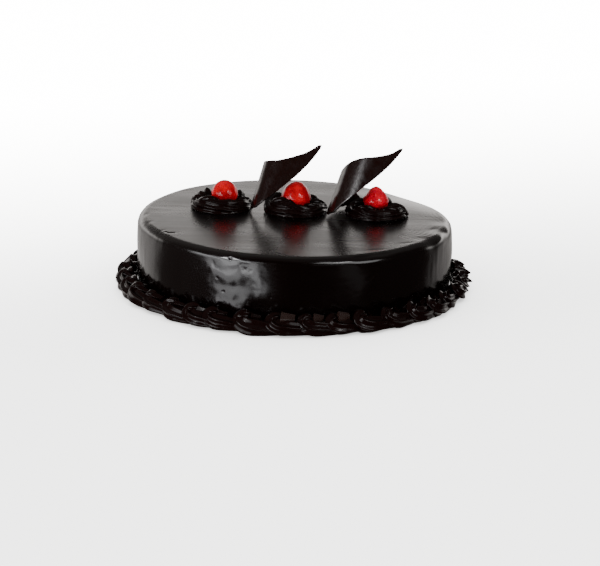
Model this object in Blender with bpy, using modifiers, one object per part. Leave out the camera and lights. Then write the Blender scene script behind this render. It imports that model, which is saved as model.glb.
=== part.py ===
"""Chocolate truffle cake: a low drum under dark glaze, ringed at its foot by a piped shell
border and topped with three piped rosettes, each holding a glace cherry, and two thin curled
sails of chocolate. Metres, +Z up. The origin is the middle of the cake's foot, and the
front of the cake faces -Y. Angles are measured from +X, counterclockwise seen from above."""

import math

import bmesh
import bpy
from mathutils import Vector

MM = 0.001
GAP = 0.3 * MM  # left between pieces that touch
POINTS_PER_RIDGE = 2  # of a piped rope's star section: the ridge and the groove
TURN = 2 * math.pi

# Cake: a drum with a rounded shoulder. Its top falls a little towards the right.
CAKE_RADIUS = 96.7 * MM
CAKE_HEIGHT = 43.9 * MM
SHOULDER = 5.6 * MM  # radius of the edge between side and top
FOOT_EDGE = 1.5 * MM  # bevel of the edge that rests
TOP_SLOPE_X = -0.0138
TOP_SLOPE_Y = 0.0072
CAKE_STEPS = 80
SHOULDER_STEPS = 5
SIDE_BULGE = 0.7 * MM
SAG_ANGLE = math.radians(38)  # where the rim sags, at the back right
SAG_WIDTH = math.radians(34)
SAG_DEPTH = 2.2 * MM
SAG_START = 66 * MM  # distance from the middle at which the sag starts
LUMP_ANGLE = math.radians(-22)  # where the shoulder is lumpy, at the front right
LUMP_WIDTH = math.radians(34)
LUMP_HEIGHT = 0.9 * MM
LUMPS_ROUND = 26

# Shell border: star-tipped rope piped round the foot in commas. Each one starts high against
# the cake, curls down over its left end and runs off to the right, under the next one.
SHELLS = 38
SHELL_FIRST = math.radians(-92.6)  # where the first curl sits, 0 at the cake's right
SHELL_RING = 103.0 * MM  # distance of a curl's middle from the cake's axis
SHELL_RISE = 6.2 * MM  # height of a curl's middle
SHELL_LEAN = math.radians(38)  # how far the curl leans back onto the cake
SHELL_HALF_LENGTH = 5.6 * MM  # of the curl
SHELL_HALF_HEIGHT = 3.3 * MM
SHELL_TAIL = 14.0 * MM  # length of the straight run after the curl
SHELL_LAP = 1.5 * MM  # how far the curl stands out over the tail before it
SHELL_START = math.radians(-75)  # swing at which the curl starts, 0 at its left end
SHELL_CURL_SHARE = 0.5  # share of the way that is the curl
SHELL_ROPE = 4.9 * MM  # ridge radius of the rope
SHELL_TAPER = 0.5  # radius at the tail's end as a share of the widest
CURL_STATIONS = (0.0, 0.06, 0.15, 0.26, 0.38, 0.5)  # shares of the way along, over the curl
TAIL_STATIONS = (0.5, 0.66, 0.83, 1.0)  # and over the tail
TAIL_OVERLAP = 0.4 * MM
TAIL_ROOT = 0.97  # the tail starts this much thinner, inside the curl
SHELL_TIP = 6  # points of the star
SHELL_GROOVE = 0.36  # groove depth as a share of the rope's radius
SHELL_FOOT = 0.12 * MM  # height of a shell's underside; the bed under it carries the ring
SHELL_TURN = 0.9  # how far the star turns from head to tail, in radians
BORDER_WALL = CAKE_RADIUS + SIDE_BULGE + GAP
BORDER_FACES = 7200  # triangles kept after the joining
BED_WIDTH = 7.4 * MM  # the cream under the shells
BED_HEIGHT = 5.0 * MM

# Rosettes: a ring of rope on the top, twisted so that its ridges swirl inwards
ROSETTE_RING = 11.9 * MM
ROSETTE_ROPE = 7.4 * MM
ROSETTE_RISE = 2.6 * MM
ROSETTE_TIP = 8
ROSETTE_GROOVE = 0.26
ROSETTE_STEPS = 36
ROSETTE_TWIST = 8  # star points that the rope turns through in one lap
ROSETTE_SWING = 0.14  # how unevenly it turns: fastest at the back left, where ridges fan out
ROSETTE_FAN = math.radians(125)
ROSETTE_SWELL = 0.06

# Name, middle on the top, size against the usual rosette, angle where the swirl starts
ROSETTES = (
    ("left", (-46.2 * MM, 12.3 * MM), 1.00, math.radians(200)),
    ("centre", (0.0 * MM, 9.8 * MM), 1.04, math.radians(250)),
    ("right", (50.4 * MM, 6.2 * MM), 1.01, math.radians(300)),
)

# Cherries: name, middle on the top, height of the middle above the top, radius, taper
CHERRIES = (
    ("left", (-44.3 * MM, 12.3 * MM), 9.3 * MM, 8.2 * MM, 0.04),
    ("centre", (-0.1 * MM, 7.4 * MM), 9.8 * MM, 9.2 * MM, 0.05),
    ("right", (50.2 * MM, 6.2 * MM), 9.9 * MM, 8.1 * MM, 0.22),
)
CHERRY_ROUND = 18
CHERRY_RINGS = 10

# Curls: triangles of thin chocolate, each bent round a leaning axis.
# "turns" says which way the sheet faces at a distance round it: 0 degrees is the front.
# "lower" and "upper" are its edges: (distance round it, distance up the axis) in mm.
CURL_THICKNESS = 1.3 * MM
CURL_COLUMNS = 24
CURL_STEP = 0.5  # mm
CURL_LEFT = {
    "foot": (-27.4 * MM, 5.1 * MM),
    "lean": (0.290, 0.430),
    "turns": ((0, -80), (7, -42), (12, -14), (16, -5), (50, 3)),
    "lower": (
        (0, 0), (6.7, 1.2), (12.6, 7.6), (16.7, 12.9), (26.3, 26.5), (30.9, 34.6), (34.1, 41.8), (36, 47.4),
    ),
    "upper": (
        (0, 31.2), (6.5, 31.5), (12.2, 32.6), (18.4, 35.7), (27.2, 41.3), (31.4, 45.3), (34.1, 48.6),
        (36, 49.2),
    ),
}
CURL_RIGHT = {
    "foot": (20.3 * MM, -2.3 * MM),
    "lean": (0.334, 0.250),
    "turns": ((-44, -176), (-30, -160), (-16, -118), (0, -80), (10, -38), (17, -20), (22, -7), (44, 3)),
    "lower": (
        (-35.6, 14.2), (-29.4, 11.1), (-22.5, 7.7), (0, 0), (7.6, 2.6), (11, 8.4), (14.9, 13.5),
        (19.4, 20.9), (23, 26), (27.4, 33.1), (31.6, 40.9), (34.4, 47.8), (35.6, 51.6),
    ),
    "upper": (
        (-35.6, 16.2), (-29.9, 19.1), (0, 29.7), (4.3, 33), (7.5, 35.5), (11, 37.8), (15.9, 40.4),
        (19.1, 41.6), (23.6, 43.8), (27.9, 46.3), (30.7, 48.5), (33.7, 52.2), (35.6, 53.1),
    ),
}


def clear_scene():
    for obj in list(bpy.data.objects):
        bpy.data.objects.remove(obj)


def new_collection(name):
    collection = bpy.data.collections.new(name)
    bpy.context.scene.collection.children.link(collection)
    return collection


def material(name, colour, roughness, coat=0.0):
    made = bpy.data.materials.new(name)
    made.use_nodes = True
    shader = made.node_tree.nodes["Principled BSDF"]
    shader.inputs["Base Color"].default_value = (*colour, 1.0)
    shader.inputs["Roughness"].default_value = roughness
    shader.inputs["Metallic"].default_value = 0.0
    shader.inputs["Coat Weight"].default_value = coat
    return made


def glaze_material():
    return material("dark glaze", (0.012, 0.008, 0.007), 0.16, coat=0.4)


def piping_material():
    return material("piped truffle cream", (0.014, 0.008, 0.007), 0.25)


def cherry_material():
    return material("glace cherry", (0.62, 0.006, 0.008), 0.15, coat=0.6)


def sail_material():
    return material("dark chocolate", (0.022, 0.010, 0.008), 0.35)


def object_from(bm, name, collection, finish):
    """The bmesh as an object with its faces turned outwards."""
    bmesh.ops.recalc_face_normals(bm, faces=bm.faces)
    mesh = bpy.data.meshes.new(name)
    bm.to_mesh(mesh)
    bm.free()
    obj = bpy.data.objects.new(name, mesh)
    collection.objects.link(obj)
    mesh.materials.append(finish)
    return obj


def applied(obj):
    """The object with its modifiers worked into its mesh."""
    graph = bpy.context.evaluated_depsgraph_get()
    mesh = bpy.data.meshes.new_from_object(obj.evaluated_get(graph))
    obj.modifiers.clear()
    obj.data = mesh
    mesh.name = obj.name
    return obj


def smooth(obj, angle):
    obj.data.shade_smooth()
    obj.data.set_sharp_from_angle(angle=math.radians(angle))


def ramp(value, start, end):
    """0 below start, 1 above end, and a smooth rise between."""
    share = min(max((value - start) / (end - start), 0.0), 1.0)
    return share * share * (3 - 2 * share)


def near(angle, middle, width):
    """1 at the middle angle, falling smoothly to 0 a width away."""
    away = abs((angle - middle + math.pi) % TURN - math.pi)
    return 1 - ramp(away, 0.0, width)


# ---------------------------------------------------------------- cake


def top_height(x, y):
    return CAKE_HEIGHT + TOP_SLOPE_X * x + TOP_SLOPE_Y * y


def on_top(place, height=0.0):
    return Vector((place[0], place[1], top_height(*place) + height))


def uneven(point):
    """Moves a point of the true drum to where the poured glaze really is."""
    distance = math.hypot(point.x, point.y)
    angle = math.atan2(point.y, point.x)
    level = point.z / CAKE_HEIGHT
    edge = ramp(distance, CAKE_RADIUS - 3 * SHOULDER, CAKE_RADIUS)
    waves = 0.30 * math.sin(3 * angle + 1.0) + 0.22 * math.sin(7 * angle + 4 * level)
    waves += 0.16 * math.sin(13 * angle - 5 * level)
    lumps = math.sin(LUMPS_ROUND * angle) * near(angle, LUMP_ANGLE, LUMP_WIDTH) * LUMP_HEIGHT
    bulge = SIDE_BULGE * math.sin(math.pi * min(level, 1.0))
    out = edge * ramp(level, 0.25, 0.6) * (waves * MM + lumps) + edge * bulge
    sag = SAG_DEPTH * near(angle, SAG_ANGLE, SAG_WIDTH) * ramp(distance, SAG_START, CAKE_RADIUS)
    tilt = top_height(point.x, point.y) - CAKE_HEIGHT
    scale = 1 + out / distance if distance > 1e-6 else 1.0
    drop = (tilt - sag + 0.4 * lumps * edge) * ramp(level, 0.0, 1.0)
    return Vector((point.x * scale, point.y * scale, point.z + drop))


def cake_profile():
    """Half the drum's section, from the middle of the top down its outer side."""
    middle = Vector((CAKE_RADIUS - SHOULDER, CAKE_HEIGHT - SHOULDER))
    points = [(share * middle.x, CAKE_HEIGHT) for share in (0.0, 0.35, 0.68, 0.88)]
    for step in range(SHOULDER_STEPS + 1):
        angle = math.pi / 2 * (1 - step / SHOULDER_STEPS)
        corner = middle + SHOULDER * Vector((math.cos(angle), math.sin(angle)))
        points.append((corner.x, corner.y))
    side = CAKE_HEIGHT - SHOULDER
    points += [(CAKE_RADIUS, share * side) for share in (0.72, 0.42)]
    points += [(CAKE_RADIUS, FOOT_EDGE), (CAKE_RADIUS - FOOT_EDGE, 0.0), (0.0, 0.0)]
    return points


def make_cake(collection, finish):
    bm = bmesh.new()
    points = [bm.verts.new((across, 0.0, height)) for across, height in cake_profile()]
    for upper, lower in zip(points, points[1:]):
        bm.edges.new((upper, lower))
    mesh = bpy.data.meshes.new("cake")
    bm.to_mesh(mesh)
    bm.free()
    cake = bpy.data.objects.new("cake", mesh)
    collection.objects.link(cake)
    screw = cake.modifiers.new("turn", "SCREW")
    screw.steps = screw.render_steps = CAKE_STEPS
    screw.use_merge_vertices = True
    screw.merge_threshold = 0.00001
    applied(cake)
    for vertex in cake.data.vertices:
        vertex.co = uneven(vertex.co)
    cake.data.materials.clear()
    cake.data.materials.append(finish)
    smooth(cake, 40)
    return cake


# ---------------------------------------------------------------- piped rope


def clear_of_floor(start, direction, reach, floor):
    """The reach, cut short where it would pass below the floor's height."""
    below = floor - (start.z + reach * direction.z)
    return reach if below <= 0 or direction.z >= 0 else reach + below / direction.z


def clear_of_wall(start, direction, reach, radius):
    """The reach, cut short where it would enter a drum of this radius on the cake's axis."""
    for _ in range(24):
        end = start + reach * direction
        if math.hypot(end.x, end.y) >= radius:
            break
        reach *= 0.93
    return reach


def clear_of_ball(start, direction, reach, middle, radius):
    """The reach, cut short where it would enter a ball."""
    to_ball = middle - start
    along = to_ball.dot(direction)
    miss = to_ball.length_squared - along * along
    if along <= 0 or miss >= radius * radius:
        return reach
    return min(reach, along - math.sqrt(radius * radius - miss))


def rope_section(start, across, up, turn, radius, tip, groove, cut):
    """A star round start: sharp ridges with round grooves between them."""
    points = []
    count = tip * POINTS_PER_RIDGE
    for step in range(count):
        angle = TURN * step / count
        direction = math.cos(turn + angle) * across + math.sin(turn + angle) * up
        depth = 1 - (1 - abs(math.sin(tip * angle / 2))) ** 2
        reach = radius * (1 - groove * depth)
        points.append(start + cut(start, direction, reach) * direction)
    return points


def loft(bm, sections, shift=None):
    """Joins the sections by triangles. With a shift, the rope is a ring whose end meets its
    start turned by that many points. Without one, its two ends are capped."""
    rings = [[bm.verts.new(point) for point in section] for section in sections]
    if shift is None:
        bm.faces.new(rings[0])
        bm.faces.new(reversed(rings[-1]))
    else:
        rings.append(rings[0][shift:] + rings[0][:shift])
    count = len(rings[0])
    for one, other in zip(rings, rings[1:]):
        for step in range(count):
            after = (step + 1) % count
            bm.faces.new((one[step], one[after], other[after], other[step]))
    bmesh.ops.triangulate(bm, faces=bm.faces)


# ---------------------------------------------------------------- shell border


def shell_size(number):
    """How much larger or smaller than usual this shell is, as a hand pipes it."""
    return 1 + 0.06 * math.sin(2.4 * number + 0.5) + 0.04 * math.sin(5.3 * number)


def shell_angle(number):
    jitter = 0.10 * math.sin(1.7 * number) + 0.06 * math.sin(4.1 * number + 2)
    return TURN * (number + jitter) / SHELLS + SHELL_FIRST


def shell_radius(share):
    """Ridge radius along a shell: a round start, then a long taper."""
    start = math.sqrt(1 - (1 - min(share / 0.16, 1.0)) ** 2)
    return SHELL_ROPE * (0.35 + 0.65 * start) * (1 - (1 - SHELL_TAPER) * ramp(share, 0.35, 1.0))


def shell_spine(share):
    """Distance along the ring, up the leaning face and out from it, at a share of the way."""
    if share < SHELL_CURL_SHARE:
        swing = SHELL_START + (math.pi / 2 - SHELL_START) * share / SHELL_CURL_SHARE
        along = -SHELL_HALF_LENGTH * math.cos(swing)
        rise = -SHELL_HALF_HEIGHT * math.sin(swing)
        return along, rise, SHELL_LAP * math.sin(math.pi * share / 0.75)
    tail = (share - SHELL_CURL_SHARE) / (1 - SHELL_CURL_SHARE)
    out = SHELL_LAP * (math.sin(math.pi * SHELL_CURL_SHARE / 0.75) - 1.6 * tail)
    return SHELL_TAIL * tail, -SHELL_HALF_HEIGHT * (1 - 0.2 * tail), out


def shell_place(number, share):
    """A point of a shell's spine, bent round the cake."""
    size = shell_size(number)
    along, rise, out = (size * value for value in shell_spine(share))
    angle = shell_angle(number) + along / SHELL_RING
    outward = Vector((math.cos(angle), math.sin(angle), 0.0))
    up = Vector((0, 0, 1))
    middle = outward * SHELL_RING + up * SHELL_RISE
    leaning = math.cos(SHELL_LEAN) * up - math.sin(SHELL_LEAN) * outward
    facing = math.sin(SHELL_LEAN) * up + math.cos(SHELL_LEAN) * outward
    return middle + rise * leaning + out * facing, facing, middle


def clear_of_hub(start, direction, reach, hub, facing):
    """The reach, cut short before it crosses the axis that the curl bends round."""
    arm = start - hub
    arm -= arm.dot(facing) * facing
    inward = -arm.normalized().dot(direction)
    if inward <= 0:
        return reach
    return min(reach, 0.92 * arm.length / inward)


def shell_sections(number, stations, on_curl):
    """Sections of one shell at these shares of its way, which runs on counterclockwise."""
    foot = SHELL_FOOT * (1 + 0.5 * math.sin(2.9 * number))
    sections = []
    for share in stations:
        start, facing, hub = shell_place(number, share)
        step = 0.01
        ahead = shell_place(number, min(share + step, 1.0))[0]
        behind = shell_place(number, max(share - step, 0.0))[0]
        heading = (ahead - behind).normalized()
        up = heading.cross(facing).normalized()

        def cut(start, direction, reach):
            if on_curl:
                reach = clear_of_hub(start, direction, reach, hub, facing)
            reach = clear_of_floor(start, direction, reach, foot)
            return clear_of_wall(start, direction, reach, BORDER_WALL)

        turn = SHELL_TURN * share + 0.3 * math.sin(1.9 * number)
        radius = shell_radius(share) * shell_size(number)
        if share == TAIL_STATIONS[0] and not on_curl:
            start = start - TAIL_OVERLAP * heading
            radius *= TAIL_ROOT
        groove = SHELL_GROOVE * (1 - 0.3 * share)
        sections.append(
            rope_section(start, facing, up, turn, radius, SHELL_TIP, groove, cut)
        )
    return sections


def bed_sections():
    """The cream that fills the corner under the shells, as a plain ring."""
    sections = []
    for step in range(2 * SHELLS):
        angle = TURN * step / (2 * SHELLS) + SHELL_FIRST
        out = Vector((math.cos(angle), math.sin(angle), 0.0))
        corners = ((0.0, 0.0), (BED_WIDTH, 0.0), (0.6 * BED_WIDTH, BED_HEIGHT), (0.0, BED_HEIGHT))
        sections.append(
            [out * (BORDER_WALL + across) + Vector((0, 0, height)) for across, height in corners]
        )
    return sections


def largest_shell_only(obj):
    """Drops the small closed voids that the joining leaves inside."""
    bm = bmesh.new()
    bm.from_mesh(obj.data)
    left = set(bm.verts)
    shells = []
    while left:
        edge_of = [left.pop()]
        found = set(edge_of)
        while edge_of:
            vertex = edge_of.pop()
            for edge in vertex.link_edges:
                other = edge.other_vert(vertex)
                if other not in found:
                    found.add(other)
                    edge_of.append(other)
        left -= found
        shells.append(found)
    shells.sort(key=len, reverse=True)
    for shell in shells[1:]:
        bmesh.ops.delete(bm, geom=list(shell), context="VERTS")
    bm.to_mesh(obj.data)
    bm.free()


def make_border(collection, finish):
    """A curl and a tail for each shell, joined into one ring with the cream under them."""
    pieces = new_collection("shell pieces")
    bm = bmesh.new()
    loft(bm, bed_sections(), shift=0)
    bed = object_from(bm, "shell_border", collection, finish)
    for number in range(SHELLS):
        for name, stations in (("curl", CURL_STATIONS), ("tail", TAIL_STATIONS)):
            bm = bmesh.new()
            loft(bm, shell_sections(number, stations, name == "curl"))
            object_from(bm, f"{name}_{number}", pieces, finish)
    union = bed.modifiers.new("join", "BOOLEAN")
    union.operation = "UNION"
    union.operand_type = "COLLECTION"
    union.collection = pieces
    union.solver = "MANIFOLD"
    applied(bed)
    for obj in list(pieces.objects):
        bpy.data.objects.remove(obj)
    bpy.data.collections.remove(pieces)
    largest_shell_only(bed)
    bed.data.calc_loop_triangles()
    thin = bed.modifiers.new("thin out", "DECIMATE")
    thin.ratio = BORDER_FACES / len(bed.data.loop_triangles)
    applied(bed)
    smooth(bed, 35)
    return bed


# ---------------------------------------------------------------- rosettes and cherries


def make_rosette(collection, finish, name, place, size, start_angle, cherry):
    _, cherry_place, cherry_rise, cherry_radius, _ = cherry
    ball = on_top(cherry_place, cherry_rise)
    floor = on_top(place).z + GAP

    def cut(start, direction, reach):
        reach = clear_of_floor(start, direction, reach, floor)
        return clear_of_ball(start, direction, reach, ball, cherry_radius + GAP)

    sections = []
    for step in range(ROSETTE_STEPS):
        share = step / ROSETTE_STEPS
        angle = start_angle + TURN * share
        out = Vector((math.cos(angle), math.sin(angle), 0.0))
        swell = ROSETTE_SWELL * math.sin(5 * angle + start_angle)
        radius = ROSETTE_ROPE * size * (1 + swell)
        start = on_top(place, ROSETTE_RISE * size) + out * ROSETTE_RING * size
        swing = ROSETTE_SWING * math.sin(angle - ROSETTE_FAN)
        turn = TURN * ROSETTE_TWIST / ROSETTE_TIP * (share + swing)
        up = Vector((0, 0, 1))
        sections.append(
            rope_section(start, out, up, turn, radius, ROSETTE_TIP, ROSETTE_GROOVE, cut)
        )
    bm = bmesh.new()
    # After one lap the star has turned by whole ridges, so it meets its start shifted.
    loft(bm, sections, shift=POINTS_PER_RIDGE * ROSETTE_TWIST)
    rosette = object_from(bm, f"rosette_{name}", collection, finish)
    smooth(rosette, 35)
    return rosette


def make_cherry(collection, finish, name, place, rise, radius, taper):
    """A ball that narrows towards its top."""
    bm = bmesh.new()
    bmesh.ops.create_uvsphere(bm, u_segments=CHERRY_ROUND, v_segments=CHERRY_RINGS, radius=radius)
    middle = on_top(place, rise)
    for vertex in bm.verts:
        level = vertex.co.z / radius
        narrow = 1 - taper * ramp(level, -0.2, 1.0)
        vertex.co = Vector((vertex.co.x * narrow, vertex.co.y * narrow, vertex.co.z)) + middle
    cherry = object_from(bm, f"cherry_{name}", collection, finish)
    smooth(cherry, 60)
    return cherry


# ---------------------------------------------------------------- curls


def between(pairs, arc):
    """The second numbers of the pairs, straight from each pair to the next."""
    for (arc_a, value_a), (arc_b, value_b) in zip(pairs, pairs[1:]):
        if arc <= arc_b or (arc_b, value_b) == pairs[-1]:
            return value_a + (value_b - value_a) * (arc - arc_a) / (arc_b - arc_a)


def bent(turns, arc):
    """How far the sheet has gone sideways and back, in mm, at a distance round it."""
    steps = 1 + int(abs(arc) / CURL_STEP)
    sideways = back = 0.0
    for step in range(steps):
        facing = math.radians(between(turns, arc * (step + 0.5) / steps))
        sideways += math.cos(facing) * arc / steps
        back += math.sin(facing) * arc / steps
    return sideways, back


def curl_point(curl, arc, rise):
    """The bent triangle's point at a distance round the sheet and one up it, in mm."""
    lean_x, lean_y = curl["lean"]
    axis = Vector((math.tan(lean_x), math.tan(lean_y), 1.0)).normalized()
    across = Vector((1, 0, 0))
    across = (across - axis * axis.dot(across)).normalized()
    sideways, back = bent(curl["turns"], arc)
    foot = on_top(curl["foot"], CURL_THICKNESS)
    return foot + (sideways * across + back * axis.cross(across) + rise * axis) * MM


def make_curl(collection, finish, name, curl):
    lower, upper = curl["lower"], curl["upper"]
    first, last = lower[0][0], lower[-1][0]
    bm = bmesh.new()
    rows = []
    for column in range(CURL_COLUMNS + 1):
        arc = first + (last - first) * column / CURL_COLUMNS
        low, high = between(lower, arc), between(upper, arc)
        heights = (low, (low + high) / 2, high)
        rows.append([bm.verts.new(curl_point(curl, arc, rise)) for rise in heights])
    for one, other in zip(rows, rows[1:]):
        for step in range(len(one) - 1):
            bm.faces.new((one[step], other[step], other[step + 1], one[step + 1]))
    obj = object_from(bm, f"curl_{name}", collection, finish)
    shell = obj.modifiers.new("thickness", "SOLIDIFY")
    shell.thickness = CURL_THICKNESS
    shell.offset = 0.0
    smooth(obj, 35)
    return obj


def main():
    clear_scene()
    collection = new_collection("chocolate truffle cake")
    piping = piping_material()
    cherry_red = cherry_material()
    sail = sail_material()
    make_cake(collection, glaze_material())
    make_border(collection, piping)
    for rosette, cherry in zip(ROSETTES, CHERRIES):
        make_rosette(collection, piping, *rosette, cherry)
        make_cherry(collection, cherry_red, *cherry)
    make_curl(collection, sail, "left", CURL_LEFT)
    make_curl(collection, sail, "right", CURL_RIGHT)


main()
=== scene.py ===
# %% [markdown]
# # A chocolate truffle cake
# The cake is a low drum under poured, near-black glaze. A star nozzle piped the shell border
# round its foot and the rosettes on its top. Each rosette holds a glace cherry, and two thin
# curled sails of chocolate stand between them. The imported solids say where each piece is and
# how large. This script gives every piece its fine surface and its finish.

import math

import bmesh
import bpy
import numpy as np
from mathutils import Matrix, Vector, noise


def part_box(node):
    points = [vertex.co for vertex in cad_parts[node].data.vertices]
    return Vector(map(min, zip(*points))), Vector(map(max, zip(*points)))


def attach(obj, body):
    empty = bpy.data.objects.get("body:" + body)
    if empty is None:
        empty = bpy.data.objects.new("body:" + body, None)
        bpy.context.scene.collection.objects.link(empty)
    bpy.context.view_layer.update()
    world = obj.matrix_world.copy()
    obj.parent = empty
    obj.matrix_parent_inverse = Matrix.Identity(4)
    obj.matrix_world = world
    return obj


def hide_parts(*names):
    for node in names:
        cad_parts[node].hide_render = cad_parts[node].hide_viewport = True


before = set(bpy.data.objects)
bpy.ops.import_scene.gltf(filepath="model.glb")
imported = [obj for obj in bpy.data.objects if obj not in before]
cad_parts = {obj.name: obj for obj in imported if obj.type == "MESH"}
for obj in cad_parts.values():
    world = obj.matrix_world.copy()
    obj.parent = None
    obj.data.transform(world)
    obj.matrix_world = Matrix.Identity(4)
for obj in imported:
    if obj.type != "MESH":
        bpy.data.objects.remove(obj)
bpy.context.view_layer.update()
MM = 0.001
TURN = 2 * math.pi
UP = Vector((0, 0, 1))
print("solids:", ", ".join(sorted(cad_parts)))

# %% [markdown]
# The camera stands about a metre in front of the cake and looks down on it a little. A long
# lens keeps the drum's sides upright. Position, tilt and lens come from fitting circles of
# known size, so that the render lines up with the view it should match.

# %% Camera
CAMERA_PLACE = Vector((4.0, -977.4, 292.3)) * MM
CAMERA_DOWN = math.radians(16.66)
CAMERA_ROLL = math.radians(0.99)
CAMERA_LENS = 97.69  # mm, on a sensor 36 mm wide


def new_object(name, data):
    """An object in the scene with this mesh, lamp or camera as its data."""
    made = bpy.data.objects.new(name, data)
    bpy.context.scene.collection.objects.link(made)
    return made


def place_camera():
    """The scene's camera, tilted down and then rolled a little."""
    data = bpy.data.cameras.new("camera")
    data.sensor_width = 36
    data.lens = CAMERA_LENS
    data.clip_start = 0.01
    camera = new_object("camera", data)
    turned = Matrix.Rotation(math.radians(90) - CAMERA_DOWN, 4, "X")
    turned = turned @ Matrix.Rotation(CAMERA_ROLL, 4, "Z")
    turned.translation = CAMERA_PLACE
    camera.matrix_world = turned
    bpy.context.scene.camera = camera
    return camera


print("camera lens", place_camera().data.lens)

# %% [markdown]
# Most shapes here follow a formula, so a few small helpers come first. A ramp rises smoothly
# from 0 to 1. Near and hump are 1 in one place and fall off on both sides of it, the one round
# the cake and the other along a length. These three work on one number or on a whole array of
# points at once, which keeps a mesh of many thousand points quick. A ripple is smooth noise,
# and a wander is the small difference that a hand leaves between one shell and the next.

# %% Formulas for shapes
def ramp(value, start, end):
    """0 below start, 1 above end, and a smooth rise between."""
    share = np.clip((value - start) / (end - start), 0.0, 1.0)
    return share * share * (3 - 2 * share)


def near(angle, middle, width):
    """1 at the middle angle, falling smoothly to 0 a width away."""
    away = np.abs((angle - middle + math.pi) % TURN - math.pi)
    return 1 - ramp(away, 0.0, width)


def hump(distance, width):
    """1 at distance 0, falling off like a bell."""
    return np.exp(-((distance / width) ** 2))


def ripple(points, size, seed):
    """Smooth noise between -1 and 1 at each point, with lumps about this large."""
    return np.array([noise.noise(Vector(point) / size + Vector((seed, 0, 0))) for point in points])


def wander(number, size, pace, start=0.0):
    """A value of at most this size that differs from number to number, but not from run to run."""
    return size * math.sin(pace * number + start)


def outward(angle):
    """The level direction away from the middle at this angle."""
    return Vector((math.cos(angle), math.sin(angle), 0.0))


print("half way up the ramp:", float(ramp(0.5, 0.0, 1.0)))

# %% [markdown]
# Blender builds both its shaders and its Geometry Nodes from trees of nodes. A tree is easier
# to read as a formula than as a list of links. This helper adds a node, plugs values or other
# nodes' outputs into it, and hands back its output. A Field wraps an output, so that plus,
# minus and times between two of them add the math nodes by themselves.

# %% Nodes written as formulas
class Field:
    """An output socket that can stand in a formula."""

    def __init__(self, tree, socket):
        self.tree = tree
        self.socket = socket

    def maths(self, operation, *others):
        return add(self.tree, "ShaderNodeMath", self, *others, operation=operation)

    def vectors(self, operation, *others):
        return add(self.tree, "ShaderNodeVectorMath", self, *others, operation=operation)

    def is_vector(self):
        return self.socket.type in ("VECTOR", "RGBA")

    def __add__(self, other):
        return self.vectors("ADD", other) if self.is_vector() else self.maths("ADD", other)

    def __sub__(self, other):
        return self.vectors("SUBTRACT", other) if self.is_vector() else self.maths("SUBTRACT", other)

    def __mul__(self, other):
        return self.vectors("MULTIPLY", other) if self.is_vector() else self.maths("MULTIPLY", other)

    def __rsub__(self, number):
        return add(self.tree, "ShaderNodeMath", number, self, operation="SUBTRACT")

    def __truediv__(self, other):
        return self.maths("DIVIDE", other)

    def scaled(self, factor):
        """A vector made longer by a number or by another Field."""
        return add(self.tree, "ShaderNodeVectorMath", self, named={"Scale": factor}, operation="SCALE")

    def length(self):
        node = add(self.tree, "ShaderNodeVectorMath", self, operation="LENGTH", whole=True)
        return Field(self.tree, node.outputs["Value"])

    def parts(self):
        """The x, y and z of a vector."""
        node = add(self.tree, "ShaderNodeSeparateXYZ", self, whole=True)
        return [Field(self.tree, socket) for socket in node.outputs]


def plug(tree, socket, value):
    """Links a Field to the socket, or sets the socket to a plain value."""
    if isinstance(value, Field):
        tree.links.new(value.socket, socket)
    else:
        socket.default_value = value


def add(tree, kind, *values, named=None, whole=False, **settings):
    """Adds a node. Values fill its sockets in order, and named ones by identifier."""
    node = tree.nodes.new(kind)
    for key, setting in settings.items():
        setattr(node, key, setting)
    for socket, value in zip(node.inputs, values):
        plug(tree, socket, value)
    by_name = {socket.identifier: socket for socket in node.inputs}
    for key, value in (named or {}).items():
        plug(tree, by_name[key], value)
    return node if whole else Field(tree, node.outputs[0])


def combine(tree, x, y, z):
    """The vector with these parts."""
    return add(tree, "ShaderNodeCombineXYZ", x, y, z)


def smooth_step(tree, value, start, end, low=0.0, high=1.0):
    """Low where the value is below start, high above end, and a smooth change between."""
    limits = {"Value": value, "From Min": start, "From Max": end, "To Min": low, "To Max": high}
    return add(tree, "ShaderNodeMapRange", named=limits, interpolation_type="SMOOTHSTEP")


def mixed_colours(tree, share, one, other):
    """The first colour where the share is 0, the second where it is 1."""
    one, other = (side if isinstance(side, Field) else (*side, 1.0) for side in (one, other))
    named = {"Factor_Float": share, "A_Color": one, "B_Color": other}
    node = add(tree, "ShaderNodeMix", named=named, whole=True, data_type="RGBA")
    return Field(tree, next(socket for socket in node.outputs if socket.identifier == "Result_Color"))


print("node helpers: Field, add, combine, smooth_step, mixed_colours")

# %% [markdown]
# ## Finishes
# Each finish is a Principled shader with a few patterns of noise. A pattern bends the surface
# by parts of a millimetre, as a bump, and often moves the roughness too, because food is never
# equally smooth all over. The patterns read the object's own coordinates, so that they stay
# where they are on the piece.

# %% Finish helpers
NOISE_LOW, NOISE_HIGH = 0.3, 0.7  # most noise lies between these


def new_finish(name, colour, roughness, **sockets):
    """A Principled material, its tree and its shader."""
    made = bpy.data.materials.new(name)
    made.use_nodes = True
    tree = made.node_tree
    shader = tree.nodes["Principled BSDF"]
    shader.inputs["Base Color"].default_value = (*colour, 1.0)
    shader.inputs["Roughness"].default_value = roughness
    for key, value in sockets.items():
        shader.inputs[key.replace("_", " ")].default_value = value
    return made, tree, shader


def object_place(tree, scale=(1.0, 1.0, 1.0)):
    """The object's own coordinates, stretched by this scale."""
    place = tree.nodes.new("ShaderNodeTexCoord")
    coords = Field(tree, place.outputs["Object"])
    return add(tree, "ShaderNodeMapping", coords, named={"Scale": scale})


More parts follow.
